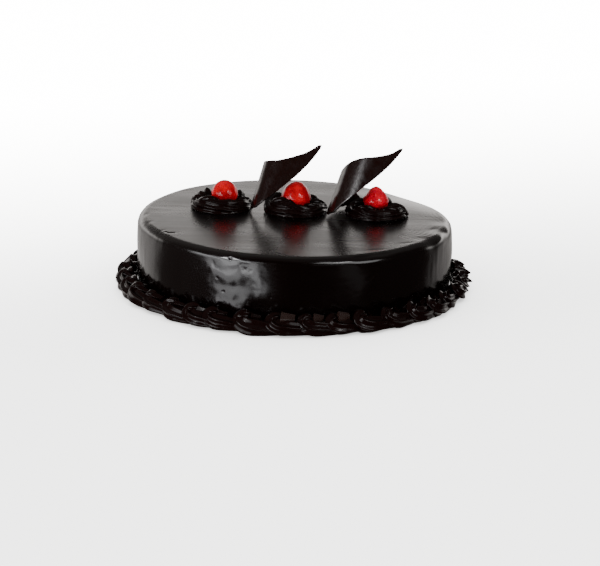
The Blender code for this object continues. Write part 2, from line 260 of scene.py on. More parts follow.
def noise_at(tree, place, scale, detail=2.0, distortion=0.0):
    """Noise with about this many lumps in a metre, from 0 to 1."""
    named = {"Vector": place, "Scale": scale, "Detail": detail, "Distortion": distortion}
    return add(tree, "ShaderNodeTexNoise", named=named)


def drive(shader, key, field):
    """Plugs a Field into one of the shader's sockets."""
    field.tree.links.new(field.socket, shader.inputs[key])


def bumped(tree, shader, height, depth):
    """Bends the shader's normal as if the surface stood out by height times depth, in metres."""
    drive(shader, "Normal", add(tree, "ShaderNodeBump", named={"Height": height, "Distance": depth}))


def roughened(tree, shader, pattern, smooth, rough):
    """Roughness that goes from smooth where the noise is low to rough where it is high."""
    drive(shader, "Roughness", smooth_step(tree, pattern, NOISE_LOW, NOISE_HIGH, smooth, rough))


print("finish helpers: new_finish, object_place, noise_at, drive, bumped, roughened")

# %% [markdown]
# Poured glaze is chocolate, cream and glucose: it sets to a gloss that is a mirror, but a
# slightly blurred one. Almost no light comes back from inside it, so nearly all that the eye
# sees is reflection, and the bump matters more than the colour. A palette knife leaves long
# faint streaks on the top, and air leaves a few small pits.

# %% Glaze
GLAZE_BLACK = (0.0016, 0.0003, 0.0002)
GLAZE_BUMP = 0.00022  # m
GLAZE_SMOOTH, GLAZE_ROUGH = 0.13, 0.20
TOP_FROM, TOP_TO = 0.041, 0.0432  # m: the heights between which side turns into top
TOP_DULLER = 0.11  # what the top's roughness has over the side's


def glaze_finish():
    made, tree, shader = new_finish("dark_glaze", GLAZE_BLACK, GLAZE_ROUGH, IOR=1.5)
    # Streaks run along X, as the knife was drawn across the top.
    streaks = noise_at(tree, object_place(tree, (0.16, 1.0, 1.0)), 160.0, 3.0, 0.4)
    wide = noise_at(tree, object_place(tree), 28.0)
    fine = noise_at(tree, object_place(tree), 900.0)
    cells = {"Vector": object_place(tree), "Scale": 120.0}
    pits = smooth_step(tree, add(tree, "ShaderNodeTexVoronoi", named=cells), 0.0, 0.10)
    bumped(tree, shader, streaks * 0.35 + wide * 0.9 + fine * 0.03 + pits * 0.25, GLAZE_BUMP)
    level = object_place(tree).parts()[2]
    duller = smooth_step(tree, level, TOP_FROM, TOP_TO, 0.0, TOP_DULLER)
    drive(shader, "Roughness", smooth_step(tree, wide, 0.3, 0.75, GLAZE_SMOOTH, GLAZE_ROUGH) + duller)
    return made


glaze = glaze_finish()
print("made", glaze.name)

# %% [markdown]
# Piped truffle cream has the same colour, but it sets softer: a satin gloss with a fine
# grain, brightest along the thin crests that the nozzle's teeth left. A little noise in the
# roughness breaks those highlights up, as on real cream.

# %% Piped cream
CREAM_BROWN = (0.0045, 0.0011, 0.0009)


def piping_finish():
    made, tree, shader = new_finish("piped_cream", CREAM_BROWN, 0.18, IOR=1.4, Specular_IOR_Level=0.21)
    grain = noise_at(tree, object_place(tree), 900.0, 3.0)
    soft = noise_at(tree, object_place(tree), 260.0)
    bumped(tree, shader, soft * 0.25 + grain * 0.05, 0.0004)
    roughened(tree, shader, soft, 0.13, 0.24)
    return made


piping = piping_finish()
print("made", piping.name)

# %% [markdown]
# Where the cream tore off short, it is paler and duller than where the nozzle smoothed it. The
# syrup that ran off the cherries lies on the cream in small beads, which look dark as the cream
# does, and a little redder where they are thin.

# %% Torn cream and syrup
TORN_BROWN = (0.016, 0.0075, 0.006)
SYRUP_THICK, SYRUP_THIN = (0.002, 0.0005, 0.0005), (0.008, 0.0012, 0.0010)


def torn_finish():
    made, tree, shader = new_finish("torn_cream", TORN_BROWN, 0.30, IOR=1.45)
    grain = noise_at(tree, object_place(tree), 1100.0, 3.0)
    bumped(tree, shader, grain * 0.3, 0.0003)
    roughened(tree, shader, grain, 0.24, 0.36)
    return made


def syrup_finish():
    made, tree, shader = new_finish("syrup_bead", SYRUP_THICK, 0.06, IOR=1.5)
    thinned = noise_at(tree, object_place(tree), 500.0)
    drive(shader, "Base Color", mixed_colours(tree, thinned, SYRUP_THICK, SYRUP_THIN))
    return made


torn = torn_finish()
syrup = syrup_finish()
print("made", torn.name, syrup.name)

# %% [markdown]
# A glace cherry is fruit soaked in red syrup. Light goes into it and comes out red, which is
# subsurface scattering, and the syrup lies on it as a clear coat. The skin under the coat is
# finely wrinkled. Its underside is painted dark, as painted shade.

# %% Glace cherry
DEEP_REDS = ((0.24, 0.0002, 0.003), (0.50, 0.0006, 0.007))
BRIGHT_REDS = ((0.36, 0.0006, 0.010), (0.68, 0.0015, 0.018))
CHERRY_PAINTED_SHADE = (0.035, 0.0002, 0.0004)  # painted shade on the underside, which faces away from the light
RED_GOES_DEEPEST = (1.0, 0.12, 0.08)


def cherry_finish(name, dark, light):
    """Red fruit in patches of a darker and a lighter red, with painted shade where it faces down."""
    sockets = {
        "IOR": 1.45,
        "Subsurface_Weight": 0.35,
        "Subsurface_Scale": 0.003,
        "Coat_Weight": 1.0,
        "Coat_Roughness": 0.05,
        "Coat_IOR": 1.31,
        "Specular_IOR_Level": 0.03,
    }
    made, tree, shader = new_finish(name, light, 0.3, **sockets)
    shader.inputs["Subsurface Radius"].default_value = RED_GOES_DEEPEST
    wrinkles = noise_at(tree, object_place(tree, (1.0, 1.0, 0.6)), 380.0, 2.0, 0.6)
    bumped(tree, shader, wrinkles, 0.0003)
    patches = smooth_step(tree, noise_at(tree, object_place(tree), 160.0), 0.35, 0.7)
    skin = mixed_colours(tree, patches, dark, light)
    # Painted shade: the colour turns to a near black red where the surface faces down.
    facing = tree.nodes.new("ShaderNodeNewGeometry")
    up = Field(tree, facing.outputs["Normal"]).parts()[2]
    unshaded_share = smooth_step(tree, up, -0.75, -0.15)
    drive(shader, "Base Color", mixed_colours(tree, unshaded_share, CHERRY_PAINTED_SHADE, skin))
    return made


cherry_red = cherry_finish("glace_cherry", *DEEP_REDS)
bright_cherry = cherry_finish("bright_glace_cherry", *BRIGHT_REDS)
print("made", cherry_red.name, bright_cherry.name)

# %% [markdown]
# The sails are tempered chocolate, spread thin on a sheet and curled while it set. They are
# less glossy than the glaze, a touch browner, and carry faint uneven lines and a fine grain.

# %% Sail chocolate
SAIL_BROWN = (0.0075, 0.0022, 0.0016)


def sail_finish():
    made, tree, shader = new_finish("sail_chocolate", SAIL_BROWN, 0.2, IOR=1.45)
    lines = noise_at(tree, object_place(tree, (1.0, 1.0, 0.5)), 420.0, 3.0, 0.8)
    grain = noise_at(tree, object_place(tree), 1300.0)
    bumped(tree, shader, lines * 0.7 + grain * 0.12, 0.00010)
    roughened(tree, shader, lines, 0.16, 0.27)
    return made


sail = sail_finish()
print("made", sail.name)

# %% [markdown]
# ## The glazed drum
# A Screw modifier could turn the drum from its section, but poured glaze is never round: it
# bulges, sags at one rim, runs into lumps at another, and keeps each dent of the knife. So the
# mesh is a grid of rows down the section and columns round it. A formula moves each point to
# where the solid has it, and the fine marks come on top of that.

# %% Sizes of the drum
cake_low, cake_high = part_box("cake")
CAKE_RADIUS = 96.7 * MM
CAKE_HEIGHT = 43.9 * MM
TOP_SLOPE_X, TOP_SLOPE_Y = -0.0138, 0.0072
SHOULDER = 5.6 * MM
SHOULDER_FRONT = 4.3 * MM  # the edge is crisper at the front
FRONT = math.radians(-100)
FOOT_EDGE = 1.5 * MM
SIDE_BULGE = 0.7 * MM
TOP_FINE_START = 62 * MM  # outside this, the rows of the top lie close together
MIDDLE_ROWS, TOP_ROWS, SHOULDER_ROWS, SIDE_ROWS = 22, 46, 16, 62
COARSE, FINE = math.radians(0.85), math.radians(0.35)  # steps round the drum
MARKED = ((-151.0, -140.0), (-124.0, -98.0))  # degrees: where small marks need the fine step
SAG_AT, SAG_ROUND = math.radians(38), math.radians(34)  # the rim sags at the back right
SAG_DEPTH, SAG_FROM = 2.2 * MM, 66 * MM
LUMPS_AT, LUMPS_ROUND = math.radians(-22), math.radians(34)  # and is lumpy at the front right
LUMPS, LUMP_HEIGHT = 26, 0.45 * MM
# Height in mm, number round the cake, how they lean and where they start.
SIDE_WAVES = ((0.30, 3, 0, 1.0), (0.22, 7, 4, 0.0), (0.16, 13, -5, 0.0))
print("solid cake is %.1f mm high" % ((cake_high.z - cake_low.z) / MM))


def top_height(x, y):
    """Height of the top at this place: it falls a little to the right and rises to the back."""
    return CAKE_HEIGHT + TOP_SLOPE_X * x + TOP_SLOPE_Y * y


def on_top(place, height):
    """The point this high over the top at a place given as x and y."""
    return Vector((place[0], place[1], top_height(*place) + height))


# %% Where the poured glaze really is
def uneven(x, y, z):
    """Moves points of the true drum: bulge, waves, the lumpy front right, the sagging back right."""
    distance = np.maximum(np.hypot(x, y), 1e-6)
    angle = np.arctan2(y, x)
    level = z / CAKE_HEIGHT
    edge = ramp(distance, CAKE_RADIUS - 3 * SHOULDER, CAKE_RADIUS)
    waves = sum(
        size * np.sin(count * angle + lean * level + start) for size, count, lean, start in SIDE_WAVES
    )
    lumps = np.sin(LUMPS * angle) * near(angle, LUMPS_AT, LUMPS_ROUND) * LUMP_HEIGHT
    bulge = SIDE_BULGE * np.sin(math.pi * np.minimum(level, 1.0))
    out = edge * (ramp(level, 0.25, 0.6) * waves * MM + ramp(level, 0.80, 0.97) * lumps + bulge)
    sag = SAG_DEPTH * near(angle, SAG_AT, SAG_ROUND) * ramp(distance, SAG_FROM, CAKE_RADIUS)
    tilt = top_height(x, y) - CAKE_HEIGHT
    drop = (tilt - sag + 0.4 * lumps * edge) * ramp(level, 0.0, 1.0)
    scale = 1 + out / distance
    return x * scale, y * scale, z + drop


def drum_section(angle):
    """Distances and heights down the section at this angle, from the middle to the foot."""
    shoulder = SHOULDER + (SHOULDER_FRONT - SHOULDER) * near(angle, FRONT, math.radians(75))
    inner = CAKE_RADIUS - shoulder
    across = list(np.linspace(0.0, TOP_FINE_START, MIDDLE_ROWS)[1:])
    across += list(np.linspace(TOP_FINE_START, inner, TOP_ROWS)[1:])
    height = [CAKE_HEIGHT] * len(across)
    for step in range(1, SHOULDER_ROWS + 1):
        lean = math.pi / 2 * step / SHOULDER_ROWS
        across.append(inner + shoulder * math.sin(lean))
        height.append(CAKE_HEIGHT - shoulder + shoulder * math.cos(lean))
    side = CAKE_HEIGHT - shoulder
    for share in np.linspace(1.0, FOOT_EDGE / side, SIDE_ROWS)[1:]:
        across.append(CAKE_RADIUS)
        height.append(share * side)
    return across + [CAKE_RADIUS - FOOT_EDGE], height + [0.0]


def column_angles():
    """Angles from -180 to 180 degrees, closer together where the marks are."""
    found = [-math.pi]
    while found[-1] < math.pi - COARSE:
        degrees = math.degrees(found[-1])
        marked = any(low <= degrees < high for low, high in MARKED)
        found.append(found[-1] + (FINE if marked else COARSE))
    return np.array(found)


angles = column_angles()
sections = np.array([drum_section(angle) for angle in angles])
across, heights = sections[:, 0, :], sections[:, 1, :]
print("drum grid", across.shape)

# %% [markdown]
# The fine marks are what a mirror finish shows most. A dent of a fifth of a millimetre bends
# the reflection of a lamp into a dark smile, and slow waves of a tenth of a millimetre make the
# grey of the top wander. A bump map would do in one light, but only real dents go into the mesh
# that others use. So each mark is a row of sizes, and it moves the points under it.

# %% Knife marks and dents
# On the side: angle in degrees, then in mm the height, half length, half height, how far it
# stands out or, below 0, goes in, how far its ends curl up, and last the lean in degrees.
SIDE_MARKS = (
    (-111.5, 24.0, 11.0, 2.5, -0.17, 1.6, 0),  # the smile: a dent, and a bulge over it
    (-112.0, 30.2, 10.5, 3.0, 0.19, 1.6, 0),
    (-117.8, 36.2, 2.4, 1.1, -0.12, 0.0, -60),  # a hooked scratch
    (-115.9, 34.2, 1.8, 1.0, -0.10, 0.0, -15),
    (-118.6, 33.0, 2.6, 1.4, 0.14, 0.0, 60),
    (-109.8, 37.5, 4.0, 1.2, 0.12, 0.0, 12),  # a faint ridge by the scratch
    (-111.5, 40.6, 0.7, 0.6, -0.60, 0.0, 0),  # pits left by air
    (-114.1, 20.6, 0.9, 0.6, -0.30, 0.0, 20),
    (-116.2, 28.3, 0.7, 0.5, -0.20, 0.0, 0),
    (-107.9, 37.9, 1.1, 0.5, -0.14, 0.0, 45),
    (-106.3, 35.5, 1.1, 0.7, -0.15, 0.0, 30),
    (-104.4, 34.9, 0.9, 0.5, -0.12, 0.0, 40),
    (-104.0, 18.5, 6.0, 4.0, 0.20, 0.0, 20),  # low swells under the smile
    (-116.5, 13.5, 7.0, 3.0, 0.14, 0.0, 0),
    (-88.0, 39.0, 0.7, 0.6, -0.30, 0.0, 0),  # nicks further to the right
    (-63.0, 30.5, 1.6, 0.6, -0.25, 0.0, 30),
    (-60.5, 33.0, 1.0, 0.6, -0.25, 0.0, 20),
    (-28.5, 31.0, 10.0, 0.9, 0.24, 0.0, 90),  # drips that run down the right end
    (-24.0, 33.0, 7.0, 0.8, 0.16, 0.0, 90),
    (-33.5, 27.0, 8.0, 1.0, -0.12, 0.0, 86),
    (-163.0, 30.0, 8.0, 1.2, 0.14, 0.0, 84),  # and down the left one
    (-157.0, 24.0, 9.0, 1.3, 0.14, 0.0, 95),
    (-169.0, 26.0, 7.0, 1.2, -0.12, 0.0, 88),
)
# On the top, in mm: x, y, half length, half width and height, below 0 for a dent, and last
# the lean in degrees.
TOP_MARKS = (
    (-73.0, -50.5, 3.0, 0.7, -0.55, 6),  # a nick by the rim
    (-76.0, -49.0, 1.0, 0.8, -0.45, 30),
    (-91.4, -10.1, 4.0, 1.4, -0.16, 83),  # smudges along the rim
    (-87.4, -28.6, 4.5, 1.5, -0.16, 72),
    (-78.9, -47.4, 4.0, 1.4, -0.14, 58),
    (66.6, -57.4, 5.0, 1.6, -0.12, 25),
    (76.0, -42.0, 5.0, 1.8, 0.10, 0),  # a soft fold that runs to the rim
    (84.5, -24.0, 4.5, 1.8, -0.14, 62),  # more smudges
    (48.0, -74.0, 5.0, 1.4, -0.10, 20),
)
# Parts of the rim: middle and half width in degrees, then level or levels and depth in mm.
WAVY_RIM = (-109.5, 13.0, 40.3, 0.07)  # a thin bead of glaze at the front left
SOFT_RIM = (-60.0, 22.0, 41.2, 44.0, 1.1)  # a blunter edge at the front right
# Ripples of the side: size of a lump in mm, its width over its height, seed, depth in mm.
SIDE_RIPPLES = ((16, 0.8, 3.0, 0.14), (5.5, 0.6, 9.0, 0.055), (2.2, 1.0, 15.0, 0.011))
FRONT_LEFT, MOTTLED_ROUND = math.radians(-112), math.radians(26)  # most knife marks are here
ENDS = ((math.pi, math.radians(48)), (math.radians(-8), math.radians(45)))  # where drips run
RIM_LEVEL, RIM_HALF = 41.0 * MM, 3.0 * MM
# The knife's fine rings on the top, by the rim at the right.
RINGS_AT, RINGS_ROUND = math.radians(-12), math.radians(62)
RINGS_FROM, RINGS_TO, RING_PITCH = 70 * MM, 86 * MM, 0.46 * MM


def mark(angle, height, middle, centre, half_long, half_high, depth, curl, lean):
    """A long soft dent or bump on the side, in metres."""
    along = (angle - math.radians(middle)) * CAKE_RADIUS / MM
    up = height / MM - centre - curl * (along / half_long) ** 2
    turned = math.radians(lean)
    length = along * math.cos(turned) + up * math.sin(turned)
    across_it = up * math.cos(turned) - along * math.sin(turned)
    return depth * MM * hump(length, half_long) * hump(across_it, half_high)


def rim_marks(angle, height):
    """The wavy bead under the front left rim, and the blunter edge of the front right."""
    middle, half, level, depth = WAVY_RIM
    wave = 2.2 * hump(angle - FRONT_LEFT, math.radians(2.6)) - 0.24 * np.sin(40 * angle)
    bead = depth * MM * near(angle, math.radians(middle), math.radians(half))
    bead = bead * hump(height / MM - level - wave, 0.75)
    middle, half, low, high, depth = SOFT_RIM
    blunt = near(angle, math.radians(middle), math.radians(half))
    tilted = height / MM - 0.04 * np.degrees(angle - math.radians(middle)) - 0.3 * np.sin(34 * angle)
    return bead - depth * MM * blunt * ramp(tilted, low, high)


def side_marks(angle, height, points):
    """How far each point of the side is pushed out, in metres."""
    push = sum(mark(angle, height, *sizes) for sizes in SIDE_MARKS) + rim_marks(angle, height)
    for size, stretch, seed, depth in SIDE_RIPPLES:
        push = push + ripple(points * np.array([1.0, 1.0, stretch]), size * MM, seed) * depth * MM
    mottled = ripple(points, 6.5 * MM, 41.0) * 0.11 + ripple(points, 2.8 * MM, 47.0) * 0.03
    push = push + mottled * near(angle, FRONT_LEFT, MOTTLED_ROUND) * MM
    ends = np.maximum(*(near(angle, middle, half) for middle, half in ENDS))
    drips = ripple(points * np.array([1.0, 1.0, 0.2]), 3.2 * MM, 33.0) * 0.10 * MM * ends
    rim = hump(height - RIM_LEVEL, RIM_HALF)
    uneven_rim = rim * ripple(points, 6.5 * MM, 21.0) * (0.10 + 0.06 * ends) * MM
    return push + drips + uneven_rim


def top_marks(x, y, points):
    """How far each point of the top is raised, in metres."""
    distance = np.hypot(x, y)
    angle = np.arctan2(y, x)
    drawn = points * np.array([0.22, 1.0, 1.0])
    raised = ripple(drawn, 9 * MM, 5.0) * 0.030 * MM + ripple(points, 34 * MM, 12.0) * 0.10 * MM
    at_right = near(angle, RINGS_AT, RINGS_ROUND) * ramp(distance, RINGS_FROM, RINGS_TO)
    wavering = distance + 2.2 * MM * np.sin(7 * angle) + 1.2 * MM * np.sin(17 * angle)
    rings = np.sin(wavering / RING_PITCH)
    for middle_x, middle_y, half_long, half_wide, depth, lean in TOP_MARKS:
        turned = math.radians(lean)
        off_x, off_y = x / MM - middle_x, y / MM - middle_y
        length = off_x * math.cos(turned) + off_y * math.sin(turned)
        width = off_y * math.cos(turned) - off_x * math.sin(turned)
        raised = raised + depth * MM * hump(length, half_long) * hump(width, half_wide)
    return raised + at_right * rings * (0.018 + 0.010 * np.sin(9 * angle)) * MM


# %% The drum's mesh
def drum_points():
    """A grid of points, with columns round the drum and rows from its middle to its foot."""
    angle = np.repeat(angles[:, None], across.shape[1], axis=1)
    x, y, z = across * np.cos(angle), across * np.sin(angle), heights
    flat = np.stack([x, y, z], axis=-1).reshape(-1, 3)
    # The side's marks fade out at the foot and on the shoulder, and the top's on the shoulder.
    on_side = ramp(heights, 0.0, 5 * MM) * ramp(across, CAKE_RADIUS - 4 * MM, CAKE_RADIUS - 1 * MM)
    pushed = side_marks(angle.ravel(), z.ravel(), flat).reshape(z.shape) * on_side
    raised = top_marks(x.ravel(), y.ravel(), flat).reshape(z.shape)
    raised = raised * ramp(heights, CAKE_HEIGHT - 3 * MM, CAKE_HEIGHT)
    x, y, z = uneven(x, y, z)
    x, y = x + pushed * np.cos(angle), y + pushed * np.sin(angle)
    return np.stack([x, y, z + raised], axis=-1)


def mesh_piece(name, verts, faces, finish):
    """A smooth object made of these points and faces."""
    mesh = bpy.data.meshes.new(name)
    mesh.from_pydata([tuple(vert) for vert in verts], [], faces)
    mesh.materials.append(finish)
    mesh.shade_smooth()
    return new_object(name, mesh)


def make_drum():
    """The grid closed by a fan of triangles in the middle of the top, and one under the foot."""
    points = drum_points()
    columns, rows = points.shape[:2]
    verts = list(points.reshape(-1, 3))
    top, foot = len(verts), len(verts) + 1
    verts.append(np.array([0.0, 0.0, points[:, 0, 2].mean()]))
    verts.append(np.array([0.0, 0.0, 0.0]))
    faces = []
    for column in range(columns):
        after = (column + 1) % columns
        one, other = column * rows, after * rows
        faces.append((top, one, other))
        faces.append((foot, other + rows - 1, one + rows - 1))
        for row in range(rows - 1):
            faces.append((one + row, one + row + 1, other + row + 1, other + row))
    return mesh_piece("glazed_drum", verts, faces, glaze)


drum = make_drum()
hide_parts("cake")
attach(drum, "root")
print("drum faces:", len(drum.data.polygons))

# %% [markdown]
# ## The star nozzle
# Piping is a rope with a star for its section, laid along a path, so Curve to Mesh makes it:
# the path is a chain of points that each carry how thick the rope is, which way it faces and
# how far the star has turned. The tree below is the nozzle, and the border and the rosettes
# both use it. It also keeps the rope off what it leans on: soft cream spreads flat on what it
# lies on, against the cake's side and round a cherry.

# %% Nozzle tree
NOZZLE_INPUTS = (
    ("Ridges", "NodeSocketInt"),
    ("Groove depth", "NodeSocketFloat"),
    ("Round", "NodeSocketFloat"),
    ("Wavy", "NodeSocketFloat"),
    ("Ragged", "NodeSocketFloat"),
    ("Floor", "NodeSocketFloat"),
    ("Floor slope", "NodeSocketVector"),
    ("Wall", "NodeSocketFloat"),
    ("Ball", "NodeSocketVector"),
    ("Ball radius", "NodeSocketFloat"),
    ("Material", "NodeSocketMaterial"),
)
POINTS_PER_RIDGE = 8
SHAKES = (("Ragged", 300.0), ("Wavy", 120.0))  # input, and lumps in a metre
TINY = 0.0001  # m, keeps a division away from 0


def new_tree(name, inputs):
    """An empty Geometry Nodes tree, and its inputs as Fields by name."""
    tree = bpy.data.node_groups.new(name, "GeometryNodeTree")
    tree.interface.new_socket("Geometry", in_out="INPUT", socket_type="NodeSocketGeometry")
    for label, kind in inputs:
        tree.interface.new_socket(label, in_out="INPUT", socket_type=kind)
    tree.interface.new_socket("Geometry", in_out="OUTPUT", socket_type="NodeSocketGeometry")
    entry = tree.nodes.new("NodeGroupInput")
    fields = {socket.name: Field(tree, socket) for socket in entry.outputs if socket.name}
    return tree, fields


def end_tree(tree, geometry, finish):
    """Realizes the instances, sets the material and plugs the result into the output."""
    real = add(tree, "GeometryNodeRealizeInstances", geometry)
    smooth = add(tree, "GeometryNodeSetShadeSmooth", real)
    done = add(tree, "GeometryNodeSetMaterial", smooth, named={"Material": finish})
    out = tree.nodes.new("NodeGroupOutput")
    tree.links.new(done.socket, out.inputs[0])


def carried(tree, name, kind):
    """A value that the path's points carry."""
    return add(tree, "GeometryNodeInputNamedAttribute", name, data_type=kind)


def star_section(tree, given):
    """A circle pulled in between its ridges: sharp crests, or round lobes where Round is 1."""
    count = given["Ridges"] * float(POINTS_PER_RIDGE)
    named = {"Resolution": count, "Radius": 1.0}
    circle = add(tree, "GeometryNodeCurvePrimitiveCircle", named=named, mode="RADIUS")
    index = add(tree, "GeometryNodeInputIndex")
    swing = (index / float(POINTS_PER_RIDGE) * math.pi).maths("SINE").maths("ABSOLUTE")
    depth = swing + given["Round"] * (1.0 - swing * 2.0)
    reach = 1.0 - depth * given["Groove depth"]
    place = add(tree, "GeometryNodeInputPosition").scaled(reach)
    return add(tree, "GeometryNodeSetPosition", circle, named={"Position": place})


def kept_clear(tree, place, given):
    """Lifts a point above the floor, and moves it out of the wall and out of the ball."""
    x, y, z = place.parts()
    slope = (place * given["Floor slope"]).parts()
    floor = given["Floor"] + slope[0] + slope[1]
    z = z.maths("MAXIMUM", floor)
    reach = (x * x + y * y).maths("SQRT").maths("MAXIMUM", TINY)
    grow = (given["Wall"] / reach).maths("MAXIMUM", 1.0)
    place = combine(tree, x * grow, y * grow, z)
    arm = place - given["Ball"]
    length = arm.length().maths("MAXIMUM", TINY)
    return given["Ball"] + arm.scaled((given["Ball radius"] / length).maths("MAXIMUM", 1.0))


def nozzle_tree():
    """A rope with the star for its section, along the path that goes in."""
    tree, given = new_tree("star nozzle", NOZZLE_INPUTS)
    curve = add(tree, "GeometryNodeMeshToCurve", given["Geometry"])
    facing = {"Normal": carried(tree, "facing", "FLOAT_VECTOR")}
    curve = add(tree, "GeometryNodeSetCurveNormal", curve, named=facing, mode="FREE")
    curve = add(tree, "GeometryNodeSetCurveTilt", curve, named={"Tilt": carried(tree, "turned", "FLOAT")})
    named = {
        "Profile Curve": star_section(tree, given),
        "Scale": carried(tree, "thickness", "FLOAT"),
        "Fill Caps": True,
    }
    rope = add(tree, "GeometryNodeCurveToMesh", curve, named=named)
    place = add(tree, "GeometryNodeInputPosition")
    shake = None
    for label, lumps in SHAKES:
        grain = {"Scale": lumps, "Detail": 1.0, "Vector": place}
        rough = add(tree, "ShaderNodeTexNoise", named=grain, whole=True)
        moved = (Field(tree, rough.outputs["Color"]) - (0.5, 0.5, 0.5)).scaled(given[label])
        shake = moved if shake is None else shake + moved
    shaken = {"Position": kept_clear(tree, place + shake, given)}
    rope = add(tree, "GeometryNodeSetPosition", rope, named=shaken)
    end_tree(tree, rope, given["Material"])
    return tree


nozzle = nozzle_tree()
print("nozzle tree nodes:", len(nozzle.nodes))

# %% [markdown]
# A path goes in as a mesh of points and edges, because a mesh can carry named values on its
# points. The modifier's inputs are set by their identifiers before Blender evaluates the
# object. The result is then copied out as a plain mesh and the modifier is dropped.

# %% From paths to piped rope
def path_object(name, ropes):
    """Ropes are lists of (place, facing, thickness, turned)."""
    mesh = bpy.data.meshes.new(name)
    verts, edges = [], []
    for rope in ropes:
        first = len(verts)
        verts += [station[0] for station in rope]
        edges += [(first + step, first + step + 1) for step in range(len(rope) - 1)]
    mesh.from_pydata(verts, edges, [])
    stations = [station for rope in ropes for station in rope]
    facing = mesh.attributes.new("facing", "FLOAT_VECTOR", "POINT")
    facing.data.foreach_set("vector", [value for station in stations for value in station[1]])
    for name_of, column in (("thickness", 2), ("turned", 3)):
        values = mesh.attributes.new(name_of, "FLOAT", "POINT")
        values.data.foreach_set("value", [station[column] for station in stations])
    return new_object(name, mesh)


def kept_result(piece):
    """Makes what the piece's modifiers give its own plain mesh."""
    graph = bpy.context.evaluated_depsgraph_get()
    made = bpy.data.meshes.new_from_object(piece.evaluated_get(graph))
    piece.modifiers.clear()
    piece.data = made
    made.name = piece.name
    return made


def grown(piece, tree, settings, finish):
    """Runs the tree on the piece and keeps the result as its mesh."""
    modifier = piece.modifiers.new(tree.name, "NODES")
    modifier.node_group = tree
    sockets = {item.name: item.identifier for item in tree.interface.items_tree if item.in_out == "INPUT"}
    for label, value in settings.items():
        modifier[sockets[label]] = value
    modifier[sockets["Material"]] = finish
    made = kept_result(piece)
    closed = bmesh.new()
    closed.from_mesh(made)
    bmesh.ops.recalc_face_normals(closed, faces=closed.faces)
    closed.to_mesh(made)
    closed.free()
    return piece


def piped(name, ropes, settings, node):
    """A finished piece of piping that takes the place of this solid."""
    piece = grown(path_object(name, ropes), nozzle, settings, piping)
    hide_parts(node)
    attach(piece, "root")
    print(name, "faces:", len(piece.data.polygons))
    return piece


# %% [markdown]
# ## The shell border
# Each shell is one squeeze of the bag: it starts high against the cake, curls down over its
# left end and runs off to the right, where the next one covers it. The curl could be drawn by
# hand, but a half turn with a straight run after it is the same shape from a few sizes. Every
# shell gets its own size, step and start of the star, as a hand gives it.

# %% Sizes of a shell
SHELLS = 38
SHELL_FIRST = math.radians(-92.6)  # where the first shell sits
SHELL_RING, SHELL_RISE = 103.0 * MM, 6.2 * MM  # of a curl's middle: distance and height
SHELL_LEAN = math.radians(38)  # how far the curl leans back onto the cake
SHELL_HALF_LENGTH, SHELL_HALF_HEIGHT = 6.8 * MM, 3.1 * MM
SHELL_TAIL = 13.0 * MM  # length of the straight run after the curl
SHELL_LAP = 1.5 * MM  # how far the curl stands out over the tail before it
SHELL_START = math.radians(-70)  # swing at which the curl starts, 0 at its left end
CURL_SHARE, LAP_SHARE = 0.5, 0.75  # shares of the way that are the curl, and that stand out
TAIL_SINKS, TAIL_CLIMBS = 1.6, 0.2  # over the tail, in laps and in half heights
SHELL_ROPE = 5.2 * MM
SHELL_BLUNT, SHELL_ROUNDED = 0.35, 0.16  # thickness of the very start, and where it is full
SHELL_TAPER = 0.78  # thickness at the tail's end as a share of the widest
SHELL_RIDGES, SHELL_GROOVE, SHELL_TURN = 6, 0.34, 0.45
SPIKES_AT, SPIKES_ROUND = math.radians(8), math.radians(48)  # smaller shells, with spikes
BED_RING, BED_RISE, BED_ROPE = 101.0 * MM, 2.6 * MM, 4.3 * MM  # the cream under the shells
BORDER_WALL = CAKE_RADIUS + SIDE_BULGE + 0.3 * MM
# Shares of the way along a shell, close together where its end rounds off.
STATIONS = [0.0, 0.01, 0.025, 0.045, 0.07] + [0.1 + 0.9 * step / 34 for step in range(35)]


def shell_spine(share):
    """Distance along the ring, up the leaning face and out from it."""
    lap = math.sin(math.pi * min(share, CURL_SHARE) / LAP_SHARE)
    if share < CURL_SHARE:
        swing = SHELL_START + (math.pi / 2 - SHELL_START) * share / CURL_SHARE
        along = -SHELL_HALF_LENGTH * math.cos(swing)
        return along, -SHELL_HALF_HEIGHT * math.sin(swing), SHELL_LAP * lap
    tail = (share - CURL_SHARE) / (1 - CURL_SHARE)
    rise = -SHELL_HALF_HEIGHT * (1 - TAIL_CLIMBS * tail)
    return SHELL_TAIL * tail, rise, SHELL_LAP * (lap - TAIL_SINKS * tail)


def shell_angle(number, along):
    """The angle round the cake, this far along a shell."""
    step = number + wander(number, 0.10, 1.7) + wander(number, 0.06, 4.1, 2)
    return TURN * step / SHELLS + SHELL_FIRST + along / SHELL_RING


def shell_place(number, size, share):
    """A point of a shell's path, bent round the cake, and the way it faces."""
    along, rise, out = (size * value for value in shell_spine(share))
    away = outward(shell_angle(number, along))
    leaning = math.cos(SHELL_LEAN) * UP - math.sin(SHELL_LEAN) * away
    facing = math.sin(SHELL_LEAN) * UP + math.cos(SHELL_LEAN) * away
    return away * SHELL_RING + UP * SHELL_RISE + rise * leaning + out * facing, facing


def rounded_end(share, length):
    """0 at the start of a rope, rising as a quarter circle to 1 at this share of its way."""
    return math.sqrt(1 - (1 - min(share / length, 1.0)) ** 2)


def shell_thickness(share):
    start = SHELL_BLUNT + (1 - SHELL_BLUNT) * rounded_end(share, SHELL_ROUNDED)
    return SHELL_ROPE * start * (1 - (1 - SHELL_TAPER) * float(ramp(share, 0.35, 1.0)))


def spiked(number):
    """1 for the shells at the right, which end in spikes, falling to 0 for the others."""
    return float(near(shell_angle(number, 0.0), SPIKES_AT, SPIKES_ROUND))


